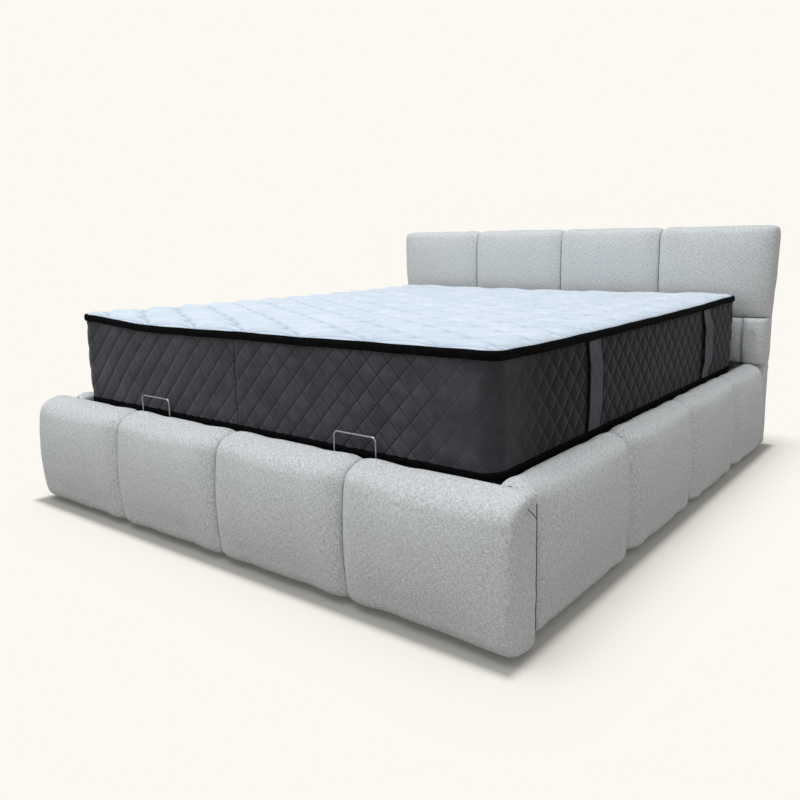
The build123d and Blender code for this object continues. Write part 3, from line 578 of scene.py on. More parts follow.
def add_cloth(pad):
    piece = pad["piece"]
    held = piece.vertex_groups.new(name="held")
    weights = hold_weights(pad)
    for index in np.nonzero(weights > least_weight)[0]:
        held.add([int(index)], float(weights[index]), "REPLACE")
    solver = piece.modifiers.new("swell", "CLOTH")
    cloth = solver.settings
    cloth.quality = 4
    cloth.mass = 0.3
    cloth.tension_stiffness = 18.0
    cloth.compression_stiffness = 18.0
    cloth.shear_stiffness = 6.0
    cloth.bending_stiffness = 1.2
    cloth.use_pressure = True
    cloth.uniform_pressure_force = air_pressure
    cloth.shrink_min = -0.012
    cloth.vertex_group_mass = "held"
    cloth.effector_weights.gravity = 0.0
    solver.collision_settings.use_collision = False
    solver.point_cache.frame_start = 1
    solver.point_cache.frame_end = solver_frames


for pad in pads:
    add_cloth(pad)
for step in range(1, solver_frames + 1):
    bpy.context.scene.frame_set(step)
for pad in pads:
    apply_modifiers(pad["piece"])
bpy.context.scene.frame_set(1)
swells = [np.linalg.norm(places(pad["piece"]) - pad["start"], axis=1).max() for pad in pads]
print("largest swell before the cap", round(float(max(swells)) * 1000, 1), "mm")

# %% [markdown]
# After the solver the movement is capped and one subdivision smooths the squares. The
# solid pads lose their fullness over a long stretch towards each seam, while the sewn
# ones stay flat and turn in sharply just before it. So each cross-section is stretched
# from the solid's size to the fuller one. Small puckers along the seams and a slow
# unevenness of the foam come last, and no point may pass the seam into the next pad.

# %% How far each kind of seam draws the pad in
# draw at the front, drop at the top, lift at the foot, reach: on the solid, then as sewn
seam_sizes = {
    "foot_seam": ((0.030, 0.022, 0.014, 0.190), (0.017, 0.012, 0.004, 0.050)),
    "rail_seam": ((0.030, 0.022, 0.014, 0.190), (0.026, 0.016, 0.026, 0.095)),
    "rail_corner": ((0.024, 0.022, 0.014, 0.120), (0.026, 0.014, 0.020, 0.050)),
    "head_seam": ((0.026, 0.022, 0.000, 0.170), (0.014, 0.018, 0.000, 0.085)),
    "head_end": ((0.060, 0.050, 0.000, 0.090), (0.050, 0.020, 0.000, 0.070)),
    "row_seam": ((0.026, 0.000, 0.000, 0.170), (0.009, 0.000, 0.000, 0.040)),
    "row_end": ((0.060, 0.000, 0.000, 0.090), (0.050, 0.000, 0.000, 0.070)),
    "cheek_end": ((0.016, 0.000, 0.000, 0.060), (0.004, 0.000, 0.000, 0.030)),
}
# how far in from the foot and from the top the edges are pulled tight, and how strongly
tight_edges = {
    "foot_seam": ((0.050, 1.45), (0.020, 1.0)),
    "rail_corner": ((0.080, 1.45), (0.020, 1.0)),
    "rail_seam": ((0.080, 1.45), (0.020, 1.0)),
    "head_seam": ((0.030, 1.6), (0.045, 1.3)),
    "row_seam": ((0.030, 1.9), (0.030, 1.9)),
    "cheek_end": ((0.020, 1.0), (0.030, 1.9)),
}
row_hang = 0.010
front_reach = 0.060
pad_end_x = cad_box[1][0]
corner_turn = 0.035
corner_draw = 0.010
corner_lift = 0.008
corner_lift_high = 0.08
corner_reach = 0.060
near_end_reach = corner_reach * 3
corner_pulls = {1.0: 1.6, -1.0: 1.1}


def slack(gap, reach):
    """How far from full a pad is at a gap from its seam: 1 at the seam, 0 past the reach."""
    left = unit(1.0 - gap / reach)
    return 1.0 - np.sqrt(1.0 - left ** 2)


def losses(pad, run, state):
    """What each cross-section has lost at its front, top and foot."""
    loss = np.zeros((len(run), 3))
    gaps = (run - pad["low"][pad["along"]], pad["high"][pad["along"]] - run)
    for end, gap in zip(pad["ends"], gaps):
        if end is not None:
            draw, drop, lift, reach = seam_sizes[end][state]
            loss += slack(gap, reach)[:, None] * np.array([draw, drop, lift])
    return loss


def front_axis(pad):
    return int(np.argmax(np.abs(pad["facing"])))


def fuller(pad, spots):
    """Stretches each cross-section from the solid's size to the sewn one."""
    low, high, axis = pad["low"], pad["high"], front_axis(pad)
    result = spots.copy()
    run = spots[:, pad["along"]]
    now, then = losses(pad, run, 0), losses(pad, run, 1)
    back = low[axis] if pad["facing"][axis] > 0 else high[axis]
    thick, tall = high[axis] - low[axis], high[2] - low[2]
    result[:, axis] = back + (spots[:, axis] - back) * (thick - then[:, 0]) / (thick - now[:, 0])
    share = (spots[:, 2] - low[2] - now[:, 2]) / (tall - now[:, 1] - now[:, 2])
    result[:, 2] = low[2] + then[:, 2] + share * (tall - then[:, 1] - then[:, 2])
    kind = next(end for end in pad["ends"] if end in tight_edges)
    (foot_reach, foot_pull), (top_reach, top_pull) = tight_edges[kind]
    from_foot = unit((result[:, 2] - low[2]) / foot_reach)
    from_top = unit((high[2] - result[:, 2]) / top_reach)
    result[:, 2] += (from_foot ** foot_pull - from_foot) * foot_reach
    result[:, 2] -= (from_top ** top_pull - from_top) * top_reach
    if kind == "row_seam":
        result[:, 2] -= row_hang * (1.0 - from_foot)
    if kind.startswith("rail"):
        front = back + pad["facing"][axis] * (thick - then[:, 0])
        from_front = unit(np.abs(front - result[:, axis]) / front_reach)
        share = (1.0 - from_foot) ** 2 * (1.0 + 2.0 * from_foot)
        full = (from_front - from_front ** foot_pull) * front_reach * share
        result[:, axis] += pad["facing"][axis] * full
    if kind == "foot_seam":
        side = np.sign(low[0] + high[0])
        if None in pad["ends"]:
            corner_pull = corner_pulls[float(side)]
            near_end = unit(1.0 - (pad_end_x - side * result[:, 0]) / near_end_reach)
            from_end = unit((pad_end_x - side * result[:, 0]) / corner_reach)
            from_face = unit((result[:, 1] - low[1]) / corner_reach)
            result[:, 0] += side * (from_end - from_end ** corner_pull) * corner_reach
            result[:, 1] -= (from_face - from_face ** corner_pull) * corner_reach * near_end
        outer = unit((side * result[:, 0] - pad_end_x + corner_turn) / corner_turn)
        behind = slack(high[1] - result[:, 1], corner_turn) * outer
        result[:, 0] -= side * behind * corner_draw
        from_foot = unit((result[:, 2] - low[2]) / corner_lift_high)
        result[:, 2] += behind * corner_lift * (1.0 - from_foot)
    return result


print(len(seam_sizes), "kinds of seam")

# %% The headboard grows narrower towards the floor
narrow_from = 0.90
narrow_full = 1.03
narrow_stops = (0.30, 0.40, 0.455, 0.60, 0.70, 0.80, 0.96)
narrow_pulls = (0.024, 0.021, 0.017, 0.017, 0.012, 0.005, 0.0)
cheek_spare = 0.021


def narrowed(spots, spare=0.0):
    """Draws the ends of the headboard in, most at its foot and where the rows meet."""
    side = np.abs(spots[:, 0])
    share = unit((side - narrow_from) / (narrow_full - narrow_from))
    pull = np.maximum(np.interp(spots[:, 2], narrow_stops, narrow_pulls) - spare, 0.0)
    result = spots.copy()
    result[:, 0] -= np.sign(spots[:, 0]) * pull * eased(share)
    return result


print("ends drawn in by up to", max(narrow_pulls) * 1000, "mm")

# %% Cap, smooth, fill out and pucker
proud = 0.004
pucker_depth = 0.0014
pucker_reach = 0.030
pucker_grain, pucker_length = 30.0, 6.0
uneven_grain = (4.2, 4.2, 5.0)
uneven_depth = 0.0016
uneven_seed = 11
even_rounds = 60
foot_rounds = 24
noise_steps = (7.3, 3.1, 5.7)
foot_band = 0.07


def ripple(spots, scale, seed):
    """Smooth noise at each place, the same on every run."""
    offset = Vector([seed * step for step in noise_steps])
    stretch = np.asarray(scale, dtype=float)
    return np.array([noise.noise(Vector(spot) + offset) for spot in spots * stretch])


def ripple_of(seed, *fields):
    """The same noise, read at places made of one, two or three given fields."""
    spots = np.stack([*fields, *([fields[0] * 0] * (3 - len(fields)))], axis=1)
    return ripple(spots, (1.0, 1.0, 1.0), seed)


def evened(piece, field, rounds):
    """Spreads values over their neighbours, so that the cloth has no small folds."""
    first, last = values_of(piece.data.edges, "vertices", 2, np.int64).T
    one, other = np.concatenate([first, last]), np.concatenate([last, first])
    many = len(field)
    count = np.bincount(one, minlength=many)
    for _ in range(rounds):
        near = [np.bincount(one, field[other, axis], many) for axis in range(3)]
        field = 0.5 * field + 0.5 * np.stack(near, axis=1) / count[:, None]
    return field


def dress_pad(pad, seed):
    piece, low, high, along = pad["piece"], pad["low"], pad["high"], pad["along"]
    shift = places(piece) - pad["start"]
    length = np.linalg.norm(shift, axis=1, keepdims=True)
    shift *= np.minimum(1.0, swell_cap / np.maximum(length, 1e-9))
    spots = pad["start"] + evened(piece, shift, even_rounds)
    first, last = spots.min(axis=0), spots.max(axis=0)
    set_places(piece, low + (spots - first) / (last - first) * (high - low))
    modified(piece, "SUBSURF", levels=1, render_levels=1)
    spots = fuller(pad, places(piece))
    edge = np.clip(np.minimum(spots[:, along] - low[along], high[along] - spots[:, along]), 0.0, None)
    lower = unit((low[2] + foot_band - spots[:, 2]) / foot_band)
    lower = lower * unit(edge / foot_band * 2)
    spots += (evened(piece, spots, foot_rounds) - spots) * lower[:, None]
    set_places(piece, spots)
    ways = facings(piece)
    near = np.exp(-edge / pucker_reach)
    stretch = np.full(3, pucker_grain)
    stretch[along] = pucker_length
    pucker = ripple(spots, stretch, seed) * near * pucker_depth
    slow = ripple(spots, uneven_grain, seed + uneven_seed) * (1.0 - near) * uneven_depth
    spots += ways * (pucker + slow)[:, None]
    reach_low, reach_high = low.copy(), high.copy()
    axis = front_axis(pad)
    reach_high[2] += proud
    if "row_seam" in pad["ends"]:
        reach_low[2] -= row_hang
    if pad["facing"][axis] > 0:
        reach_high[axis] += proud
    else:
        reach_low[axis] -= proud
    spots = np.clip(spots, reach_low, reach_high)
    if pad["node"].startswith("headboard"):
        spots = narrowed(spots, cheek_spare if along == 2 else 0.0)
    set_places(piece, spots)


for seed, pad in enumerate(pads):
    dress_pad(pad, seed)
print("dressed", len(pads), "pads")

# %% Map the cloth onto each pad


def corner_vertices(mesh):
    return values_of(mesh.loops, "vertex_index", kind=np.int64)


def write_map(mesh, name, pairs):
    layer = mesh.uv_layers.get(name) or mesh.uv_layers.new(name=name)
    layer.data.foreach_set("uv", pairs.astype(np.float32).ravel())


def map_cloth(piece):
    """A cloth map in metres: each face takes the two directions that it lies along."""
    mesh = piece.data
    ways = values_of(mesh.polygons, "normal", 3)
    counts = values_of(mesh.polygons, "loop_total", kind=np.int64)
    main = np.repeat(np.argmax(np.abs(ways), axis=1), counts)
    at = places(piece)[corner_vertices(mesh)]
    across = np.where(main == 0, at[:, 1], at[:, 0])
    up = np.where(main == 2, at[:, 1], at[:, 2])
    write_map(mesh, "cloth", np.stack([across, up], axis=1))


for pad in pads:
    map_cloth(pad["piece"])
    if pad["node"] != "headboard_middle_pads":
        finish_piece(pad["piece"], upholstery, (pad["node"],))

# %% [markdown]
# ## Seams
# A dark line runs down each seam where the two pads are sewn together, and at the foot's
# corners a short dart takes up the spare cloth. Each line is a thin cord: its path is
# traced on the pad by rays, and it then belongs to the pad. The cord is partly the seam's
# thread and partly painted shade in the crease, and a thicker one in each corner crease,
# where the footboard meets the rail, is painted crease shade.

# %% Seam cords and darts
cord_radius = 0.0012
cord_inset = 0.0030
corner_crease_shade_radius = 0.0024
cord_steps = 26
dart_ends = ((1.040, -1.100, 0.362), (1.034, -1.049, 0.318))
corner_inset = 0.0035
cord_fan, cord_fan_back = (-62.0, 112.0), 0.02
corner_fan, corner_fan_back, corner_fan_height = (-70.0, 84.0), 0.10, 0.20
dart_steps = 8
ray_back = 0.2
dart_way = (0.9, -0.1, 0.4)


def fan(turns):
    return np.linspace(*(math.radians(turn) for turn in turns), cord_steps)


# a grey cord: partly seam thread, partly painted shade in the seam's crease
def cord_finish():
    recipe = Recipe("seam_cord_and_shade")
    twist = recipe.speckle(recipe.place(), 700.0, 2.0)
    colour = recipe.blend(twist, tone(66, 67, 66), tone(96, 97, 95))
    return recipe.surface(Base_Color=colour, Roughness=0.95, Specular_IOR_Level=0.1)


def traced(piece, starts, ways):
    """Where rays from the starts first meet the piece."""
    marks = []
    for start, way in zip(starts, ways):
        hit, mark, _, _ = piece.ray_cast(Vector(start), Vector(way))
        if hit:
            marks.append(mark)
    return marks


def add_cord(piece, marks, finish, radius=cord_radius):
    line = bpy.data.curves.new("cord", "CURVE")
    line.dimensions = "3D"
    line.bevel_depth = radius
    line.bevel_resolution = 1
    line.use_fill_caps = True
    run = line.splines.new("POLY")
    run.points.add(len(marks) - 1)
    for point, mark in zip(run.points, marks):
        point.co = (*mark, 1.0)
    cord = bpy.data.objects.new("cord", line)
    bpy.context.scene.collection.objects.link(cord)
    pick(cord)
    bpy.ops.object.convert(target="MESH")
    cord = bpy.context.object
    give(cord, finish)
    joined([piece, cord])


def section_rays(pad, end):
    """Rays that fan in on the pad's section just inside one of its ends."""
    low, high, along = pad["low"], pad["high"], pad["along"]
    axis = front_axis(pad)
    middle = (low + high) / 2
    middle[along] = high[along] - cord_inset if end else low[along] + cord_inset
    middle[axis] -= pad["facing"][axis] * cord_fan_back
    starts, ways = [], []
    for turn in fan(cord_fan):
        way = np.zeros(3)
        way[axis] = -pad["facing"][axis] * math.cos(turn)
        way[2] = -math.sin(turn)
        starts.append(middle - way)
        ways.append(way)
    return starts, ways


seam_cord_and_shade = cord_finish()
bpy.context.view_layer.update()
corded = 0
for pad in pads:
    if pad["node"] == "headboard_middle_pads":
        continue
    for end, kind in enumerate(pad["ends"]):
        if end == 0 and kind in ("foot_seam", "rail_seam", "rail_corner", "head_seam"):
            marks = traced(pad["piece"], *section_rays(pad, end))
            add_cord(pad["piece"], marks, seam_cord_and_shade)
            corded += 1
for node, side in (("footboard_pad_1", -1), ("footboard_pad_4", 1)):
    piece = next(pad["piece"] for pad in pads if pad["node"] == node)
    first, last = (Vector((spot[0] * side, spot[1], spot[2])) for spot in dart_ends)
    outward = Vector((dart_way[0] * side, *dart_way[1:])).normalized()
    line = [first.lerp(last, step / dart_steps) for step in range(dart_steps + 1)]
    marks = traced(piece, [spot + outward * ray_back for spot in line], [-outward] * len(line))
    add_cord(piece, marks, seam_cord_and_shade)
    starts, ways = [], []
    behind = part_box(node)[1][1] - corner_inset
    middle = Vector((side * (pad_end_x - corner_fan_back), behind, corner_fan_height))
    for turn in fan(corner_fan):
        way = Vector((-side * math.cos(turn), 0.0, -math.sin(turn)))
        starts.append(middle - way * 0.5)
        ways.append(way)
    # the thicker cord in the corner crease is painted crease shade
    add_cord(piece, traced(piece, starts, ways), seam_cord_and_shade, corner_crease_shade_radius)
print(corded, "seam cords")

# %% Join the lower row
lower_row = joined(row_pieces)
lower_row.name = "headboard_lower_row"
finish_piece(lower_row, upholstery, ("headboard_middle_pads",))

# %% [markdown]
# ## The flat covers of the headboard
# The back of the headboard and its inner face between the rails are cloth pulled flat
# over board and folded round its edges. A welded copy of each solid gets a grid of cuts,
# its edges are rounded as folded cloth is, and the faces take the faint waves that
# stapling leaves. The back is narrowed with the pads, so that it stays behind them.

# %% Stretched covers
cover_cells = 0.03
fold_round = 0.0011
wave_depth = 0.0006
wave_long, wave_short = 3.0, 13.0
flat_rim = 0.03


def stretched_cover(node, name, seed):
    cover = solid_copy(node, name)
    low, high = (np.array(corner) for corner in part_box(node))
    pick(cover)
    bpy.ops.object.mode_set(mode="EDIT")
    bpy.ops.mesh.select_all(action="SELECT")
    bpy.ops.mesh.dissolve_limited(angle_limit=math.radians(1.0))
    for axis in (0, 2):
        way = Vector(np.eye(3)[axis])
        count = round((high[axis] - low[axis]) / cover_cells)
        for index in range(1, count):
            place = low[axis] + (high[axis] - low[axis]) * index / count
            bpy.ops.mesh.select_all(action="SELECT")
            bpy.ops.mesh.bisect(plane_co=way * place, plane_no=way)
    bpy.ops.object.mode_set(mode="OBJECT")
    modified(cover, "BEVEL", width=fold_round, segments=2, limit_method="ANGLE")
    spots = places(cover)
    waves = ripple(spots, (wave_long, wave_long, wave_short), seed)
    waves = waves + ripple(spots, (wave_short, wave_long, wave_long), seed + 1)
    inner = unit((spots - low) / flat_rim) * unit((high - spots) / flat_rim)
    spots[:, 1] -= np.abs(waves) * wave_depth * inner[:, 0] * inner[:, 2]
    set_places(cover, spots)
    map_cloth(cover)
    return cover


back_cover = stretched_cover("headboard_back_cover", "headboard_back_cloth", 60)
set_places(back_cover, narrowed(places(back_cover)))
finish_piece(back_cover, cover_tweed, ("headboard_back_cover",))
inner_cover = stretched_cover("headboard_inner_cover", "headboard_inner_cloth", 70)
finish_piece(inner_cover, cover_tweed, ("headboard_inner_cover",))

# %% [markdown]
# ## Round the mattress
# The border, the bound edges and the outline of the top all follow one path: a rectangle
# with rounded corners. It is worked out once, as places at an equal distance from each
# other, with the direction that points outwards. The tape rises at the corners and sags
# along the foot, as a handled mattress does, and two corners stand out sharper than the
# rest. Both are functions of the place, so that the pieces stay together.

# %% The mattress outline
tape_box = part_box("mattress_tapes")
border_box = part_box("mattress_border")
panel_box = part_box("mattress_top_panel")
half_wide = (tape_box[1][0] - tape_box[0][0]) / 2
half_long = (tape_box[1][1] - tape_box[0][1]) / 2
mid_y = (tape_box[1][1] + tape_box[0][1]) / 2
corner_radius = 0.060
seam_x = -0.045


def outline(inset, shares):
    """Places at shares of the way round, from the foot seam on, and the way outwards."""
    wide, long, radius = half_wide - inset, half_long - inset, corner_radius - inset
    flat_x, flat_y = wide - radius, long - radius
    # a straight run: its length, start, way along and way outwards; a turn: its centre and start
    runs = [
        (flat_x, (0.0, -long), (1.0, 0.0), (0.0, -1.0)), ("turn", (flat_x, -flat_y), -90.0),
        (2 * flat_y, (wide, -flat_y), (0.0, 1.0), (1.0, 0.0)), ("turn", (flat_x, flat_y), 0.0),
        (2 * flat_x, (flat_x, long), (-1.0, 0.0), (0.0, 1.0)), ("turn", (-flat_x, flat_y), 90.0),
        (2 * flat_y, (-wide, flat_y), (0.0, -1.0), (-1.0, 0.0)), ("turn", (-flat_x, -flat_y), 180.0),
        (flat_x, (-flat_x, -long), (1.0, 0.0), (0.0, -1.0)),
    ]
    quarter = radius * math.pi / 2
    whole = 4 * flat_x + 4 * flat_y + 4 * quarter
    reach = np.mod(shares * whole + seam_x, whole)
    spots, ways = np.zeros((len(reach), 2)), np.zeros((len(reach), 2))
    start = 0.0
    for run in runs:
        size = quarter if run[0] == "turn" else run[0]
        here = (reach >= start - 1e-9) & (reach <= start + size + 1e-9)
        step = reach[here] - start
        if run[0] == "turn":
            angle = math.radians(run[2]) + step / radius
            way = np.stack([np.cos(angle), np.sin(angle)], axis=1)
            spots[here], ways[here] = np.array(run[1]) + way * radius, way
        else:
            spots[here] = np.array(run[1]) + step[:, None] * np.array(run[2])
            ways[here] = np.array(run[3])
        start += size
    spots[:, 1] += mid_y
    return spots, ways, whole


round_length = outline(0.0, np.array([0.0]))[2]
print("round the mattress", round(round_length, 3), "m")

# %% Rise and sag of the tape, and the two sharper corners
wave_metres = (
    0.0, 0.345, 0.545, 0.90, 0.96, 1.29, 1.89, 2.37, 2.85, 2.95, 3.3, 3.85, 4.4, 4.755,
    5.2, 5.8, 6.4, 6.72, 6.76, 6.86, 7.16, 7.4,
)
wave_mm = (-6, -4, -1, 3, 0, -5, -4, -1, 8, 9, 0, -2, 0, 7, -1, -4, 0, 8, 10, 5, -13, -9)
wave_steps = 762
wave_even = 11
small_waves = ((0.0006, 14.0, 1.0), (0.0004, 37.0, 0.0))
# each sharper corner: its two sides, how far it stands out, and the share of that at the foot
sharp_corners = ((-1, -1, 0.014, 0.8), (1, 1, 0.008, 0.0))
sharp_reach = 0.045

steps = np.arange(wave_steps) / wave_steps * round_length
rough = np.interp(steps, wave_metres, wave_mm, period=round_length) / 1000
window = np.ones(wave_even) / wave_even
rough = np.convolve(np.concatenate([rough[-wave_even:], rough, rough[:wave_even]]), window, "same")
wave_table = np.convolve(rough, window, "same")[wave_even:-wave_even]


def edge_wave(share):
    """How much the top tape rises and falls round the mattress."""
    metres = np.mod(share, 1.0) * round_length
    small = sum(high * np.sin(metres * turns + start) for high, turns, start in small_waves)
    return np.interp(metres, steps, wave_table, period=round_length) + small


def sharpened(spots):
    """Pushes the two sharper corners out, most at the top."""
    result = spots.copy()
    bottom, high = border_box[0][2], border_box[1][2] - border_box[0][2]
    rise = unit((spots[:, 2] - bottom) / high)
    tip = np.array([half_wide, half_long]) - corner_radius * (1 - math.sqrt(0.5))
    for side_x, side_y, push, low_share in sharp_corners:
        up = low_share + (1.0 - low_share) * rise
        side = np.array([side_x, side_y])
        middle = side * tip + np.array([0.0, mid_y])
        away = np.linalg.norm(spots[:, :2] - middle, axis=1)
        fall = np.exp(-((away / sharp_reach) ** 2)) * push * up
        result[:, :2] += side * math.sqrt(0.5) * fall[:, None]
    return result


ends = [round(float(end) * 1000, 1) for end in (wave_table.min(), wave_table.max())]
print("tape from", ends[0], "to", ends[1], "mm")

# %% [markdown]
# ## The quilted border
# The side of the mattress is dark velour quilted in diamonds over thin foam, with one
# joining seam at the foot. A grid is wrapped round the outline, pushed out in the middle
# and drawn in along the stitched lines. The lines are real relief, so that they hold at
# any angle, and their places are also kept in a map of the cloth, from which the finish
# draws the thread together with painted shade in the grooves and a painted highlight
# beside them. The right side is painted darker as shade. One slant is stitched tighter
# than the other, as on the real one.

# %% Border shape
border_columns, border_rows = 2000, 76
diamond_wide, diamond_high = 0.074, 0.078
quilt_depth = 0.0030
quilt_valley = 0.0075
border_swell = 0.0035
border_inset = 0.0045
wall = 0.0070
grid_weld = 0.0002
weak_slant, weak_fade = (6.75, 7.45), 0.1
worn_corner, worn_reach, worn_share = 0.95, 0.20, 0.75
quilt_power = 1.4
weak_stitch = 0.7
sway_grain = (3.0, 0.9)
sway_share, slow_swell = 0.12, 0.0030
joint_wide, joint_depth = 0.006, 0.0025
edge_fade_share = 0.06
border_high = border_box[1][2] - border_box[0][2]
diamond_count = round(round_length / diamond_wide)
diamond_rows = border_high / diamond_high
line_pitch = 1.0 / math.hypot(1.0 / diamond_wide, 1.0 / diamond_high)


def wrapped_grid(name, columns, rows):
    """A grid whose two directions run 0 to 1, ready to be wrapped."""
    bpy.ops.object.select_all(action="DESELECT")
    bpy.ops.mesh.primitive_grid_add(
        x_subdivisions=columns, y_subdivisions=rows, size=1.0, location=(0.0, 0.0, 0.0),
    )
    grid = bpy.context.object
    grid.name = name
    spots = places(grid) + 0.5
    return grid, spots[:, 0], spots[:, 1]


def add_map(piece, name, first, second):
    """Keeps two values of each vertex as a map that a finish can read."""
    write_map(piece.data, name, np.stack([first, second], axis=1)[corner_vertices(piece.data)])


def pick_open_edges():
    bpy.ops.mesh.select_all(action="DESELECT")
    bpy.ops.mesh.select_non_manifold(extend=False)


def pull_edges(rise):
    bpy.ops.mesh.extrude_edges_move(TRANSFORM_OT_translate={"value": (0.0, 0.0, rise)})


def close_round(piece, inside):
    """Welds the two ends of a wrapped grid, and gives it a back wall."""
    edit_whole(piece, weld(grid_weld), pick_open_edges, lambda: pull_edges(0.0))
    chosen = values_of(piece.data.vertices, "select", kind=bool)
    spots = places(piece)
    spots[chosen] = inside(spots[chosen])
    set_places(piece, spots)
    bpy.ops.object.mode_set(mode="EDIT")
    bpy.ops.mesh.bridge_edge_loops()
    bpy.ops.object.mode_set(mode="OBJECT")
    edit_whole(piece, face_outwards)


def drawn_in(spots, amount):
    """Moves places towards the middle of the mattress, square to its outline."""
    centre = np.array([0.0, mid_y])
    inner = np.array([half_wide, half_long]) - corner_radius
    flat = spots[:, :2] - centre
    nearest = np.clip(flat, -inner, inner)
    way = flat - nearest
    length = np.maximum(np.linalg.norm(way, axis=1, keepdims=True), 1e-6)
    result = spots.copy()
    result[:, :2] -= way / length * amount
    return result


def line_gap(phase):
    """Distance to the nearest stitched line of one slant, in metres."""
    return np.abs(phase - np.round(phase)) * line_pitch


border, share, rise = wrapped_grid("mattress_border_quilt", border_columns, border_rows)
at, way, _ = outline(border_inset, share)
metres = share * round_length
sway, other_sway = (
    ripple_of(seed, *(at * sway_grain[0]).T, rise * sway_grain[1]) for seed in (80, 84)
)
falling = share * diamond_count + rise * diamond_rows + sway * sway_share
rising = share * diamond_count - rise * diamond_rows + other_sway * sway_share
weak = unit((metres - weak_slant[0]) / weak_fade)
weak = weak * unit((weak_slant[1] - metres) / weak_fade)
worn = np.exp(-(((metres - worn_corner) / worn_reach) ** 2)) * worn_share
dip, weak_dip = (
    np.exp(-((line_gap(phase) / quilt_valley) ** quilt_power)) for phase in (rising, falling)
)
dip = np.maximum(dip, weak_dip * (1.0 - weak_stitch * weak)) * (1.0 - worn)
from_seam = np.minimum(share, 1 - share) * round_length + (rise - 0.5) ** 2 * 0.02
seam_dip = np.exp(-((from_seam / joint_wide) ** 2))
edge_fade = unit(np.minimum(rise, 1 - rise) / edge_fade_share)
belly = np.sin(rise * math.pi)
push = (0.3 - dip) * quilt_depth * edge_fade - seam_dip * joint_depth * edge_fade
push += belly * border_swell + (sway + other_sway) * belly * slow_swell
flat = at + way * push[:, None]
height = border_box[0][2] + border_high * rise + edge_wave(share) * rise ** 2
set_places(border, sharpened(np.column_stack([flat, height])))
add_map(border, "cloth", metres, rise * border_high)
add_map(border, "quilt", falling, rising)
close_round(border, lambda spots: drawn_in(spots, wall))
print("border", len(border.data.polygons), "faces,", diamond_count, "diamonds round")

# %% Velour of the border
# painted side shade: between these distances round the mattress, along its right side, the velour is
# painted darker
painted_shade_from = (0.80, 1.25)
painted_shade_until = (2.85, 3.05)
# tones of the painted side shade and of the thread with its painted groove shade
painted_side_shade_tone, thread_and_groove_shade_tone = tone(27, 28, 32), tone(22, 22, 25)
# painted highlight beside the stitched lines: its tone, strength and reach
glint_tone, glint_share = tone(98, 98, 102), 0.16
glint_reach = ((0.10, 0.16), (0.18, 0.34))
joint_line = (0.0015, 0.0045)
weak_thread, worn_thread = 0.65, 0.7


def velour(name, pile, brushed_pile, quilt=True):
    recipe = Recipe(name)
    cloth = recipe.cloth_place()
    across, _, _ = recipe.split(cloth)
    smudge = recipe.speckle(recipe.stretched(cloth, (5.0, 7.0, 1.0)), 1.6, 3.0, 0.6)
    brushed = recipe.speckle(recipe.stretched(cloth, (26.0, 12.0, 1.0)), 1.0, 3.0, 0.6)
    pile_grain = recipe.speckle(cloth, 900.0, 2.0, 0.6)
    shade = smudge.between(0.34, 0.68) * 0.55 + brushed.between(0.35, 0.7) * 0.3 + pile_grain * 0.15
    colour = recipe.blend(shade, pile, brushed_pile)
    relief = pile_grain * 0.5
    if quilt:
        falling, rising, _ = recipe.split(recipe.add("UVMap", {"uv_map": "quilt"}))
        weak = across.band(
            (weak_slant[0], weak_slant[0] + weak_fade), (weak_slant[1] - weak_fade, weak_slant[1]),
        )
        worn = 1.0 - abs(across - worn_corner).between(0.05, 0.35)
        # painted shade: the right side of the border is darkened, as it faces away from the lamp
        painted_side_shade = across.band(painted_shade_from, painted_shade_until)
        colour = recipe.blend(painted_side_shade * 0.92, colour, painted_side_shade_tone)
        # dark lines: partly the stitch thread, partly painted shade in the stitched grooves
        thread_and_shade_lines = []
        for phase, strength in ((rising, 1.0), (falling, 1.0 - weak * weak_thread)):
            gap = abs(phase.waves(1.0))
            thread_and_shade_lines.append((1.0 - gap.between(0.03, 0.13)) * strength)
            # painted highlight: a paler line along each side of the stitched lines
            glint = gap.band(*glint_reach) * strength * (1.0 - painted_side_shade * 0.6) * glint_share
            colour = recipe.blend(glint, colour, glint_tone)
        thread_and_groove_shade = thread_and_shade_lines[0].maths("MAXIMUM", thread_and_shade_lines[1]) * (1.0 - worn * worn_thread)
        from_seam = round_length / 2 - abs(across - round_length / 2)
        thread_and_groove_shade = thread_and_groove_shade.maths("MAXIMUM", (1.0 - from_seam.between(*joint_line)) * 0.8)
        colour = recipe.blend(thread_and_groove_shade * 0.85, colour, thread_and_groove_shade_tone)
        relief = relief - thread_and_groove_shade * 0.8
    normal = recipe.bump(relief, 0.0009, 0.8)
    return recipe.surface(
        Base_Color=colour, Roughness=0.9, Normal=normal, Sheen_Weight=0.30,
        Sheen_Roughness=0.35, Specular_IOR_Level=0.12,
    )


border_velour = velour("border_velour", tone(62, 62, 65), tone(84, 84, 88))
handle_velour = velour("handle_velour", tone(70, 71, 75), tone(90, 91, 95), quilt=False)
finish_piece(border, border_velour, ("mattress_border",))

# %% [markdown]
# ## The bound edges
# A black woven tape is folded over each raw edge and sewn down, which leaves a soft roll
# that stands a little proud. The roll's section is a flattened ring, wrapped round the
# outline as a grid whose second direction closes on itself.

# %% Tape rolls
tape_high = 0.0250
tape_columns, tape_around = 900, 18
tape_square, tape_pinch, tape_weld = 0.8, 0.0012, 0.00005
tape_unrolled = 2.6
pinch_grain = 16
rib_long, rib_cross = 0.0022, 0.0016
# the lower tape lies flatter, because it passes close to the tracks when the deck is raised
high_tape = (0.0020, 0.0056)
low_tape = (0.0060, 0.0045)


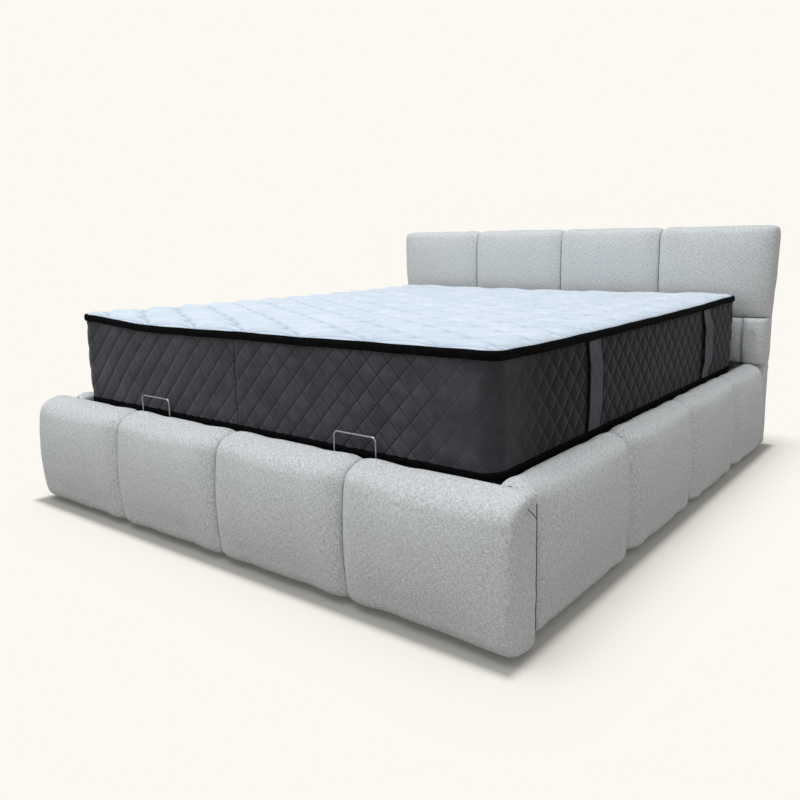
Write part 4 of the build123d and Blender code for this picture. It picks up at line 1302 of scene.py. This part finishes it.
def tape_section(turn):
    """Outward and upward place on the roll, from -1 to 1."""
    angle = turn * 2 * math.pi
    out, up = np.cos(angle), np.sin(angle)
    return np.sign(out) * np.abs(out) ** tape_square, np.sign(up) * np.abs(up) ** tape_square


def tape_roll(name, middle, wave, seed, inset, half_thick):
    roll, share, turn = wrapped_grid(name, tape_columns, tape_around)
    out, up = tape_section(turn)
    at, way, _ = outline(inset, share)
    pinch = ripple_of(seed, *(at * pinch_grain).T, turn * 2) * tape_pinch
    flat = at + way * (out * half_thick + pinch)[:, None]
    height = middle + wave(share) + up * tape_high / 2
    set_places(roll, sharpened(np.column_stack([flat, height])))
    add_map(roll, "cloth", share * round_length, turn * tape_high * tape_unrolled)
    edit_whole(roll, weld(tape_weld), face_outwards)
    return roll


def level(share):
    return share * 0.0


low_middle, high_middle = tape_box[0][2] + tape_high / 2, tape_box[1][2] - tape_high / 2
low_roll = tape_roll("mattress_low_tape", low_middle, level, 90, *low_tape)
high_roll = tape_roll("mattress_high_tape", high_middle, edge_wave, 95, *high_tape)
tapes = joined([low_roll, high_roll])
tapes.name = "mattress_tape_rolls"


def binding_tape():
    recipe = Recipe("binding_tape")
    cloth = recipe.cloth_place()
    across, up, _ = recipe.split(cloth)
    rib = abs(across.waves(rib_long))
    cross = abs(up.waves(rib_cross))
    dust = recipe.speckle(cloth, 40.0, 3.0, 0.6)
    colour = recipe.blend(dust.between(0.35, 0.75), tone(9, 9, 10), tone(20, 20, 22))
    normal = recipe.bump(rib * 0.6 + cross * 0.4, 0.0004, 0.8)
    return recipe.surface(Base_Color=colour, Roughness=0.95, Normal=normal, Specular_IOR_Level=0.06)


tape_finish = binding_tape()
finish_piece(tapes, tape_finish, ("mattress_tapes",))

# %% [markdown]
# ## The quilted top
# The white top is knitted cloth quilted through a soft layer in rows of shallow scallops,
# each with a second line inside it. A fine grid is bent into the mattress outline, rolled
# down at its edge, and raised between the lines, so that the puffs break the skyline as
# they do on the real one. The knit is painted a darker grey-blue in the stitched valleys,
# as shade. A skirt and a flat underside close it.

# %% Top panel shape
top_columns, top_rows = 400, 440
top_inset = 0.004
scallop_wide, scallop_pitch = 0.250, 0.074
puff_height = 0.0150
puff_reach, puff_power, puff_middle = 0.0125, 1.3, 0.6
puff_rim = (0.03, 0.15)
# each stitched line: its height in the scallop, and how much narrower its valley is
echo_lines = ((1.0, 1.0), (0.52, 1.25))
scallop_overlap = 1.02
scallop_wander, wander_grain, wander_seeds = 0.02, (2.2, 2.2, 0.0), (120, 130)
tip_round = 0.0025
outline_marks = 1200
lip_rise, crown_gap = 0.007, 0.003
slow_grain, slow_rise, slow_rim = (1.6, 1.6, 0.0), 0.004, 0.1
edge_roll = 0.040
rim_follow, follow_power = 0.22, 1.5


def outline_gap(spots):
    """How far inside the mattress outline each place lies."""
    flat = np.abs(spots[:, :2] - np.array([0.0, mid_y]))
    beyond = flat - (np.array([half_wide, half_long]) - top_inset - corner_radius)
    outside = np.linalg.norm(np.maximum(beyond, 0.0), axis=1)
    inside = np.minimum(beyond.max(axis=1), 0.0)
    return corner_radius - outside - inside


def nearest_share(flat):
    """The share of the way round whose outline place is nearest."""
    marks, _, _ = outline(0.0, np.arange(outline_marks) / outline_marks)
    tree = kdtree.KDTree(outline_marks)
    for index, mark in enumerate(marks):
        tree.insert((*mark, 0.0), index)
    tree.balance()
    return np.array([tree.find((*spot, 0.0))[1] for spot in flat]) / outline_marks


def into_outline(across, up):
    """Bends the unit square into the rounded outline: nothing moves in the middle."""
    wide, long = half_wide - top_inset, half_long - top_inset
    flat = np.stack([(across - 0.5) * 2 * wide, (up - 0.5) * 2 * long], axis=1)
    reach = np.maximum(np.abs(flat[:, 0]) / wide, np.abs(flat[:, 1]) / long)
    angle = np.arctan2(np.abs(flat[:, 1]), np.abs(flat[:, 0]))
    way = np.stack([np.cos(angle), np.sin(angle)], axis=1)
    to_side = np.min(np.array([wide, long]) / np.maximum(way, 1e-9), axis=1)
    centre = np.array([wide - corner_radius, long - corner_radius])
    along = way @ centre
    arc_depth = along ** 2 - centre @ centre + corner_radius ** 2
    to_arc = along + np.sqrt(np.maximum(arc_depth, 0.0))
    tip = way * to_side[:, None]
    in_corner = (tip[:, 0] > centre[0]) & (tip[:, 1] > centre[1])
    factor = np.where(in_corner, np.minimum(to_arc / to_side, 1.0), 1.0)
    flat *= (1.0 - (1.0 - factor) * reach ** 8)[:, None]
    flat[:, 1] += mid_y
    return flat


def scallop_relief(spots):
    """0 on a stitched line, 1 in the middle of a puff."""
    across = spots[:, 0] + ripple(spots, wander_grain, wander_seeds[0]) * scallop_wander
    along = spots[:, 1] + ripple(spots, wander_grain, wander_seeds[1]) * scallop_wander
    gap = np.full(len(spots), 1.0)
    row = np.floor(along / scallop_pitch)
    for step in (-2, -1, 0, 1):
        for echo, weight in echo_lines:
            index = row + step
            phase = across / scallop_wide * math.pi + index * math.pi / 2
            arch = np.sqrt(np.abs(np.sin(phase)) + tip_round) - math.sqrt(tip_round)
            line = index * scallop_pitch + scallop_pitch * scallop_overlap * echo * arch
            slope = scallop_pitch * echo * math.pi / scallop_wide * np.abs(np.cos(phase))
            slope = slope / (2 * arch + 0.1)
            gap = np.minimum(gap, np.abs(along - line) / np.sqrt(1.0 + slope ** 2) * weight)
    return 1.0 - np.exp(-((gap / puff_reach) ** puff_power))


top, across, up = wrapped_grid("mattress_top_quilt", top_columns, top_rows)
flat = into_outline(across, up)
spots = np.column_stack([flat, np.zeros(len(flat))])
gap = np.clip(outline_gap(spots), 0.0, None)
to_flat = (edge_roll - np.minimum(gap, edge_roll)) / edge_roll
rolled = np.sqrt(unit(1.0 - to_flat ** 2))
panel_low, panel_high = panel_box[0][2], panel_box[1][2]
puffs = scallop_relief(spots)
lip = panel_low + lip_rise
spots[:, 2] = lip + (panel_high - crown_gap - lip) * rolled
spots[:, 2] += (puffs - puff_middle) * puff_height * np.clip(gap / puff_rim[0], puff_rim[1], 1.0)
spots[:, 2] += ripple(spots, slow_grain, 140) * slow_rise * unit(gap / slow_rim)
follow = unit(1.0 - gap / rim_follow) ** follow_power
spots[:, 2] += edge_wave(nearest_share(flat)) * follow
set_places(top, sharpened(spots))
add_map(top, "cloth", flat[:, 0], flat[:, 1])
add_map(top, "quilt", puffs, gap)
print("top", len(top.data.polygons), "faces, puffs to", round(float(spots[:, 2].max()), 4), "m")

# %% Skirt and underside of the top
# for each step: how far it drops, and the share of the outline that is left
skirt_steps = ((-0.004, 1.0), (-0.004, 0.996), (0.0, 0.9))
pick(top)
bpy.ops.object.mode_set(mode="EDIT")
pick_open_edges()
for drop, inset in skirt_steps:
    pull_edges(drop)
    bpy.ops.transform.resize(value=(inset, inset, 1.0), center_override=(0.0, mid_y, panel_low))
bpy.ops.mesh.edge_face_add()
bpy.ops.object.mode_set(mode="OBJECT")
edit_whole(top, face_outwards)

# %% White knit of the top
knit_tones = (tone(209, 220, 227), tone(222, 229, 235))
loop_tone = tone(186, 196, 206)
# painted shade in the stitched valleys: its tone and strength
valley_shade_tone, valley_shade_share = tone(160, 176, 193), 0.66
rib_wide, loop_long = 0.0028, 0.0019


def white_knit():
    recipe = Recipe("white_knit")
    cloth = recipe.cloth_place()
    across, along, _ = recipe.split(cloth)
    puff, _, _ = recipe.split(recipe.add("UVMap", {"uv_map": "quilt"}))
    rib = abs(across.waves(rib_wide))
    loop = abs(along.waves(loop_long))
    knit = rib * 0.6 + rib * loop * 0.4
    haze = recipe.speckle(cloth, 5.0, 3.0, 0.6)
    colour = recipe.blend(haze.between(0.35, 0.7), *knit_tones)
    colour = recipe.blend((1.0 - knit) * 0.12, colour, loop_tone)
    # painted shade: the knit darkens towards the stitched lines, away from the puffs
    valley_shade = (1.0 - puff.between(0.0, 0.66)) * valley_shade_share
    colour = recipe.blend(valley_shade, colour, valley_shade_tone)
    normal = recipe.bump(knit, 0.0005, 0.7)
    return recipe.surface(
        Base_Color=colour, Roughness=0.85, Normal=normal, Sheen_Weight=0.10,
        Sheen_Roughness=0.5, Specular_IOR_Level=0.2,
    )


finish_piece(top, white_knit(), ("mattress_top_panel",))

# %% [markdown]
# ## Inside and under the mattress
# The spring core and the underside are hidden while the bed is closed and hardly seen
# when it is open. They are kept simple but whole: a foam block with rounded edges, and a
# sheet of bonded cloth with its pressed dots.

# %% Core and underside
block_turn_steps, block_edge_steps = 8, 3
block_corner_inset = 0.006
block_insets = (3, 12)
dot_pitch = 0.003


def rounded_block(name, node, edge):
    """A block in a solid's box, with the mattress's rounded corners and soft edges."""
    low, high = (Vector(corner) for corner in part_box(node))
    bpy.ops.object.select_all(action="DESELECT")
    bpy.ops.mesh.primitive_cube_add(size=1.0, location=(low + high) / 2)
    block = bpy.context.object
    block.name = name
    block.scale = high - low
    settle(block)
    bpy.ops.object.mode_set(mode="EDIT")
    bpy.ops.mesh.select_mode(type="EDGE")
    bpy.ops.mesh.select_all(action="DESELECT")
    shape = bmesh.from_edit_mesh(block.data)
    for line in shape.edges:
        way = line.verts[0].co - line.verts[1].co
        line.select_set(abs(way.x) < 1e-4 and abs(way.y) < 1e-4)
    bmesh.update_edit_mesh(block.data)
    bpy.ops.mesh.bevel(
        offset=corner_radius - block_corner_inset, segments=block_turn_steps, affect="EDGES",
    )
    bpy.ops.mesh.select_mode(type="FACE")
    bpy.ops.mesh.select_all(action="DESELECT")
    shape = bmesh.from_edit_mesh(block.data)
    for face in shape.faces:
        if abs(face.normal.z) > 0.9:
            face.select_set(True)
    bmesh.update_edit_mesh(block.data)
    for share in block_insets:
        bpy.ops.mesh.inset(thickness=edge * share, depth=0.0)
    bpy.ops.mesh.select_mode(type="VERT")
    bpy.ops.object.mode_set(mode="OBJECT")
    modified(block, "BEVEL", width=edge, segments=block_edge_steps, limit_method="ANGLE")
    map_cloth(block)
    return block


def pressed_foam():
    recipe = Recipe("core_foam")
    place = recipe.place()
    cells = recipe.add("TexVoronoi", inputs={"Vector": place, "Scale": 420.0}, out="Distance")
    tint = recipe.speckle(place, 9.0, 2.0)
    colour = recipe.blend(tint, tone(226, 214, 176), tone(238, 230, 200))
    return recipe.surface(Base_Color=colour, Roughness=0.9, Normal=recipe.bump(cells, 0.0012))


def bonded_cloth():
    recipe = Recipe("bonded_cloth")
    across, along, _ = recipe.split(recipe.cloth_place())
    dots = across.waves(dot_pitch) * along.waves(dot_pitch)
    fibre = recipe.speckle(recipe.cloth_place(), 300.0, 4.0, 0.7)
    colour = recipe.blend(fibre.between(0.3, 0.7), tone(44, 44, 46), tone(62, 62, 64))
    return recipe.surface(
        Base_Color=colour, Roughness=0.85, Normal=recipe.bump(dots * 0.5 + fibre * 0.4, 0.0006),
    )


core = rounded_block("mattress_core_block", "mattress_core", 0.006)
finish_piece(core, pressed_foam(), ("mattress_core",))
underside = rounded_block("mattress_underside", "mattress_base_cover", 0.0012)
finish_piece(underside, bonded_cloth(), ("mattress_base_cover",))

# %% [markdown]
# ## The carrying straps
# Each strap runs from tape to tape, sewn down at its ends, and lifts off the border
# between them: the ones near the head, which are pulled more, hang the loosest. The edge
# towards the foot is bound in thick black tape and the other edge with a thin one. One
# strap is modelled from a grid, bowed outwards, given its thickness and its bound edges,
# and then set in its four places: on the left side as a mirror image, with its faces
# turned right again.

# %% One strap
strap_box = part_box("mattress_handles")
strap_low, strap_high = strap_box[0][2], strap_box[1][2]
strap_wide = 0.100
binding_wide = (0.015, 0.004)
strap_places = ((-0.467, 0.009), (0.590, 0.018))
strap_face = half_wide - 0.004
strap_columns, strap_rows = 40, 70
sewn_share, strap_thick, hem_thick = 0.30, 0.0022, 0.0012
strap_off = 0.0028
foot_edge_bow = 0.55
crease_grain, wander_grain_up, ragged_grain = (4, 9), 3, 26
crease_depth, wander_wide, ragged_wide, ragged_share = 0.0016, 0.004, 0.0045, 0.12


def strap(name, middle_y, bulge, seed):
    piece, across, up = wrapped_grid(name, strap_columns, strap_rows)
    free = eased(unit(np.minimum(up, 1 - up) / sewn_share))
    bow = bulge * free * (foot_edge_bow + (1.0 - foot_edge_bow) * across)
    hem = hem_thick * (across < binding_wide[0] / strap_wide)
    crease = ripple_of(seed, across * crease_grain[0], up * crease_grain[1]) * crease_depth * free
    wander = ripple_of(seed + 5, up * wander_grain_up) * wander_wide
    ragged = ripple_of(seed + 7, up * ragged_grain) * ragged_wide
    ragged = ragged * unit(1.0 - across / ragged_share)
    rise_here = edge_wave(nearest_share(np.array([[half_wide, middle_y]])))
    spots = np.column_stack([
        strap_face + strap_off + bow + hem + crease,
        middle_y - strap_wide / 2 + across * strap_wide + wander + ragged,
        strap_low + (strap_high - strap_low) * up + rise_here * up ** 2,
    ])
    set_places(piece, spots)
    add_map(piece, "cloth", across * strap_wide, up * (strap_high - strap_low))
    give(piece, handle_velour, tape_finish)
    for face in piece.data.polygons:
        side = sum(across[index] for index in face.vertices) / len(face.vertices) * strap_wide
        bound = side < binding_wide[0] or side > strap_wide - binding_wide[1]
        face.material_index = 1 if bound else 0
    modified(piece, "SOLIDIFY", thickness=strap_thick, offset=0.0)
    return piece


straps = [
    strap(f"strap_{index}", *spot, 150 + index * 9) for index, spot in enumerate(strap_places)
]
for right in list(straps):
    left = right.copy()
    left.data = right.data.copy()
    left.name = right.name + "_left"
    bpy.context.scene.collection.objects.link(left)
    spots = places(left)
    spots[:, 0] *= -1.0
    set_places(left, spots)
    edit_whole(left, face_outwards)
    straps.append(left)
handles = joined(straps)
handles.name = "mattress_carry_straps"
finish_piece(handles, None, ("mattress_handles",))

# %% [markdown]
# ## Steel, wood, board and rubber
# The hard pieces keep the frame's own shape and only take a finish. Each finish has the
# mark that its making leaves: orange peel in powder coat, grain along a slat, fibres in
# felt, drawn lines on wire. All of them read the place on the piece in metres.

# %% Metals


def powder_coat(name, dark, pale, rough):
    recipe = Recipe(name)
    place = recipe.place()
    peel = recipe.speckle(place, 520.0, 2.0)
    wear = recipe.speckle(place, 14.0, 4.0, 0.65)
    colour = recipe.blend(wear.between(0.5, 0.85), dark, pale)
    return recipe.surface(
        Base_Color=colour, Roughness=rough + wear * 0.12, Metallic=0.0,
        Normal=recipe.bump(peel, 0.00025, 0.6), Specular_IOR_Level=0.5,
    )


def zinc_plate():
    recipe = Recipe("zinc_plate")
    place = recipe.place()
    spangle = recipe.add("TexVoronoi", inputs={"Vector": place, "Scale": 160.0}, out="Distance")
    cloud = recipe.speckle(place, 30.0, 3.0)
    colour = recipe.blend(cloud.between(0.3, 0.7), tone(176, 178, 180), tone(204, 204, 200))
    return recipe.surface(
        Base_Color=colour, Metallic=1.0, Roughness=0.32 + spangle * 0.14,
        Normal=recipe.bump(cloud, 0.0002, 0.5),
    )


def bright_wire():
    recipe = Recipe("bright_wire")
    place = recipe.place()
    drawn = recipe.speckle(recipe.stretched(place, (900.0, 900.0, 60.0)), 1.0, 2.0)
    cloud = recipe.speckle(place, 60.0, 2.0)
    colour = recipe.blend(cloud, tone(172, 173, 176), tone(200, 201, 204))
    return recipe.surface(
        Base_Color=colour, Metallic=1.0, Roughness=0.16 + drawn * 0.12,
        Normal=recipe.bump(drawn, 0.0001, 0.4),
    )


# %% Wood, board, rubber and plastic


def slat_veneer(name, pale, dark, grain, rough):
    recipe = Recipe(name)
    place = recipe.place()
    fibres = recipe.speckle(recipe.stretched(place, (2.4, 90.0, 120.0)), 1.0, 4.0, 0.6)
    pores = recipe.speckle(recipe.stretched(place, (26.0, 700.0, 700.0)), 1.0, 2.0)
    cloud = recipe.speckle(place, 3.0, 2.0)
    shade = fibres.between(0.3, 0.72) * 0.7 + cloud * 0.3
    colour = recipe.blend(shade, pale, dark)
    colour = recipe.blend(pores.between(0.62, 0.72) * 0.4, colour, grain)
    return recipe.surface(
        Base_Color=colour, Roughness=rough + fibres * 0.15,
        Normal=recipe.bump(fibres + pores * 0.5, 0.0003),
    )


def felt_board(name, dark, pale):
    recipe = Recipe(name)
    place = recipe.place()
    fibre = recipe.speckle(place, 380.0, 5.0, 0.75)
    cloud = recipe.speckle(place, 16.0, 3.0)
    colour = recipe.blend(fibre.between(0.3, 0.72) * 0.7 + cloud * 0.3, dark, pale)
    return recipe.surface(
        Base_Color=colour, Roughness=0.95, Normal=recipe.bump(fibre, 0.0008), Sheen_Weight=0.3,
        Sheen_Roughness=0.5, Specular_IOR_Level=0.15,
    )


def moulded(name, dark, pale, scale, rough):
    recipe = Recipe(name)
    place = recipe.place()
    grain = recipe.speckle(place, scale, 3.0)
    cloud = recipe.speckle(place, 25.0, 2.0)
    colour = recipe.blend(cloud, dark, pale)
    return recipe.surface(
        Base_Color=colour, Roughness=rough + grain * 0.1, Normal=recipe.bump(grain, 0.0003, 0.7),
    )


# %% Give each hard piece its finish
finish_of_slot = {
    "black_steel": powder_coat("black_powder_coat", tone(30, 30, 32), tone(48, 48, 50), 0.42),
    "strut_steel": powder_coat("strut_gloss", tone(18, 18, 19), tone(28, 28, 30), 0.22),
    "zinc_steel": zinc_plate(),
    "chrome_wire": bright_wire(),
    "slat_wood": slat_veneer(
        "slat_beech", tone(222, 194, 150), tone(198, 164, 116), tone(150, 112, 70), 0.36,
    ),
    "batten_wood": slat_veneer(
        "batten_pine", tone(224, 196, 150), tone(190, 152, 104), tone(140, 100, 62), 0.62,
    ),
    "lined_board": felt_board("board_lining", tone(38, 38, 40), tone(62, 62, 64)),
    "floor_board": felt_board("floor_felt", tone(34, 34, 36), tone(58, 58, 60)),
    "black_rubber": moulded("rubber", tone(26, 26, 27), tone(38, 38, 39), 300.0, 0.7),
    "black_plastic": moulded("plastic", tone(30, 30, 31), tone(44, 44, 46), 600.0, 0.45),
}
finished = 0
for node, solid in nodes.items():
    finish = finish_of_slot.get(slot_of[node])
    if finish is None or solid.hide_render:
        continue
    give(solid, finish)
    finished += 1
print(finished, "hard pieces finished")
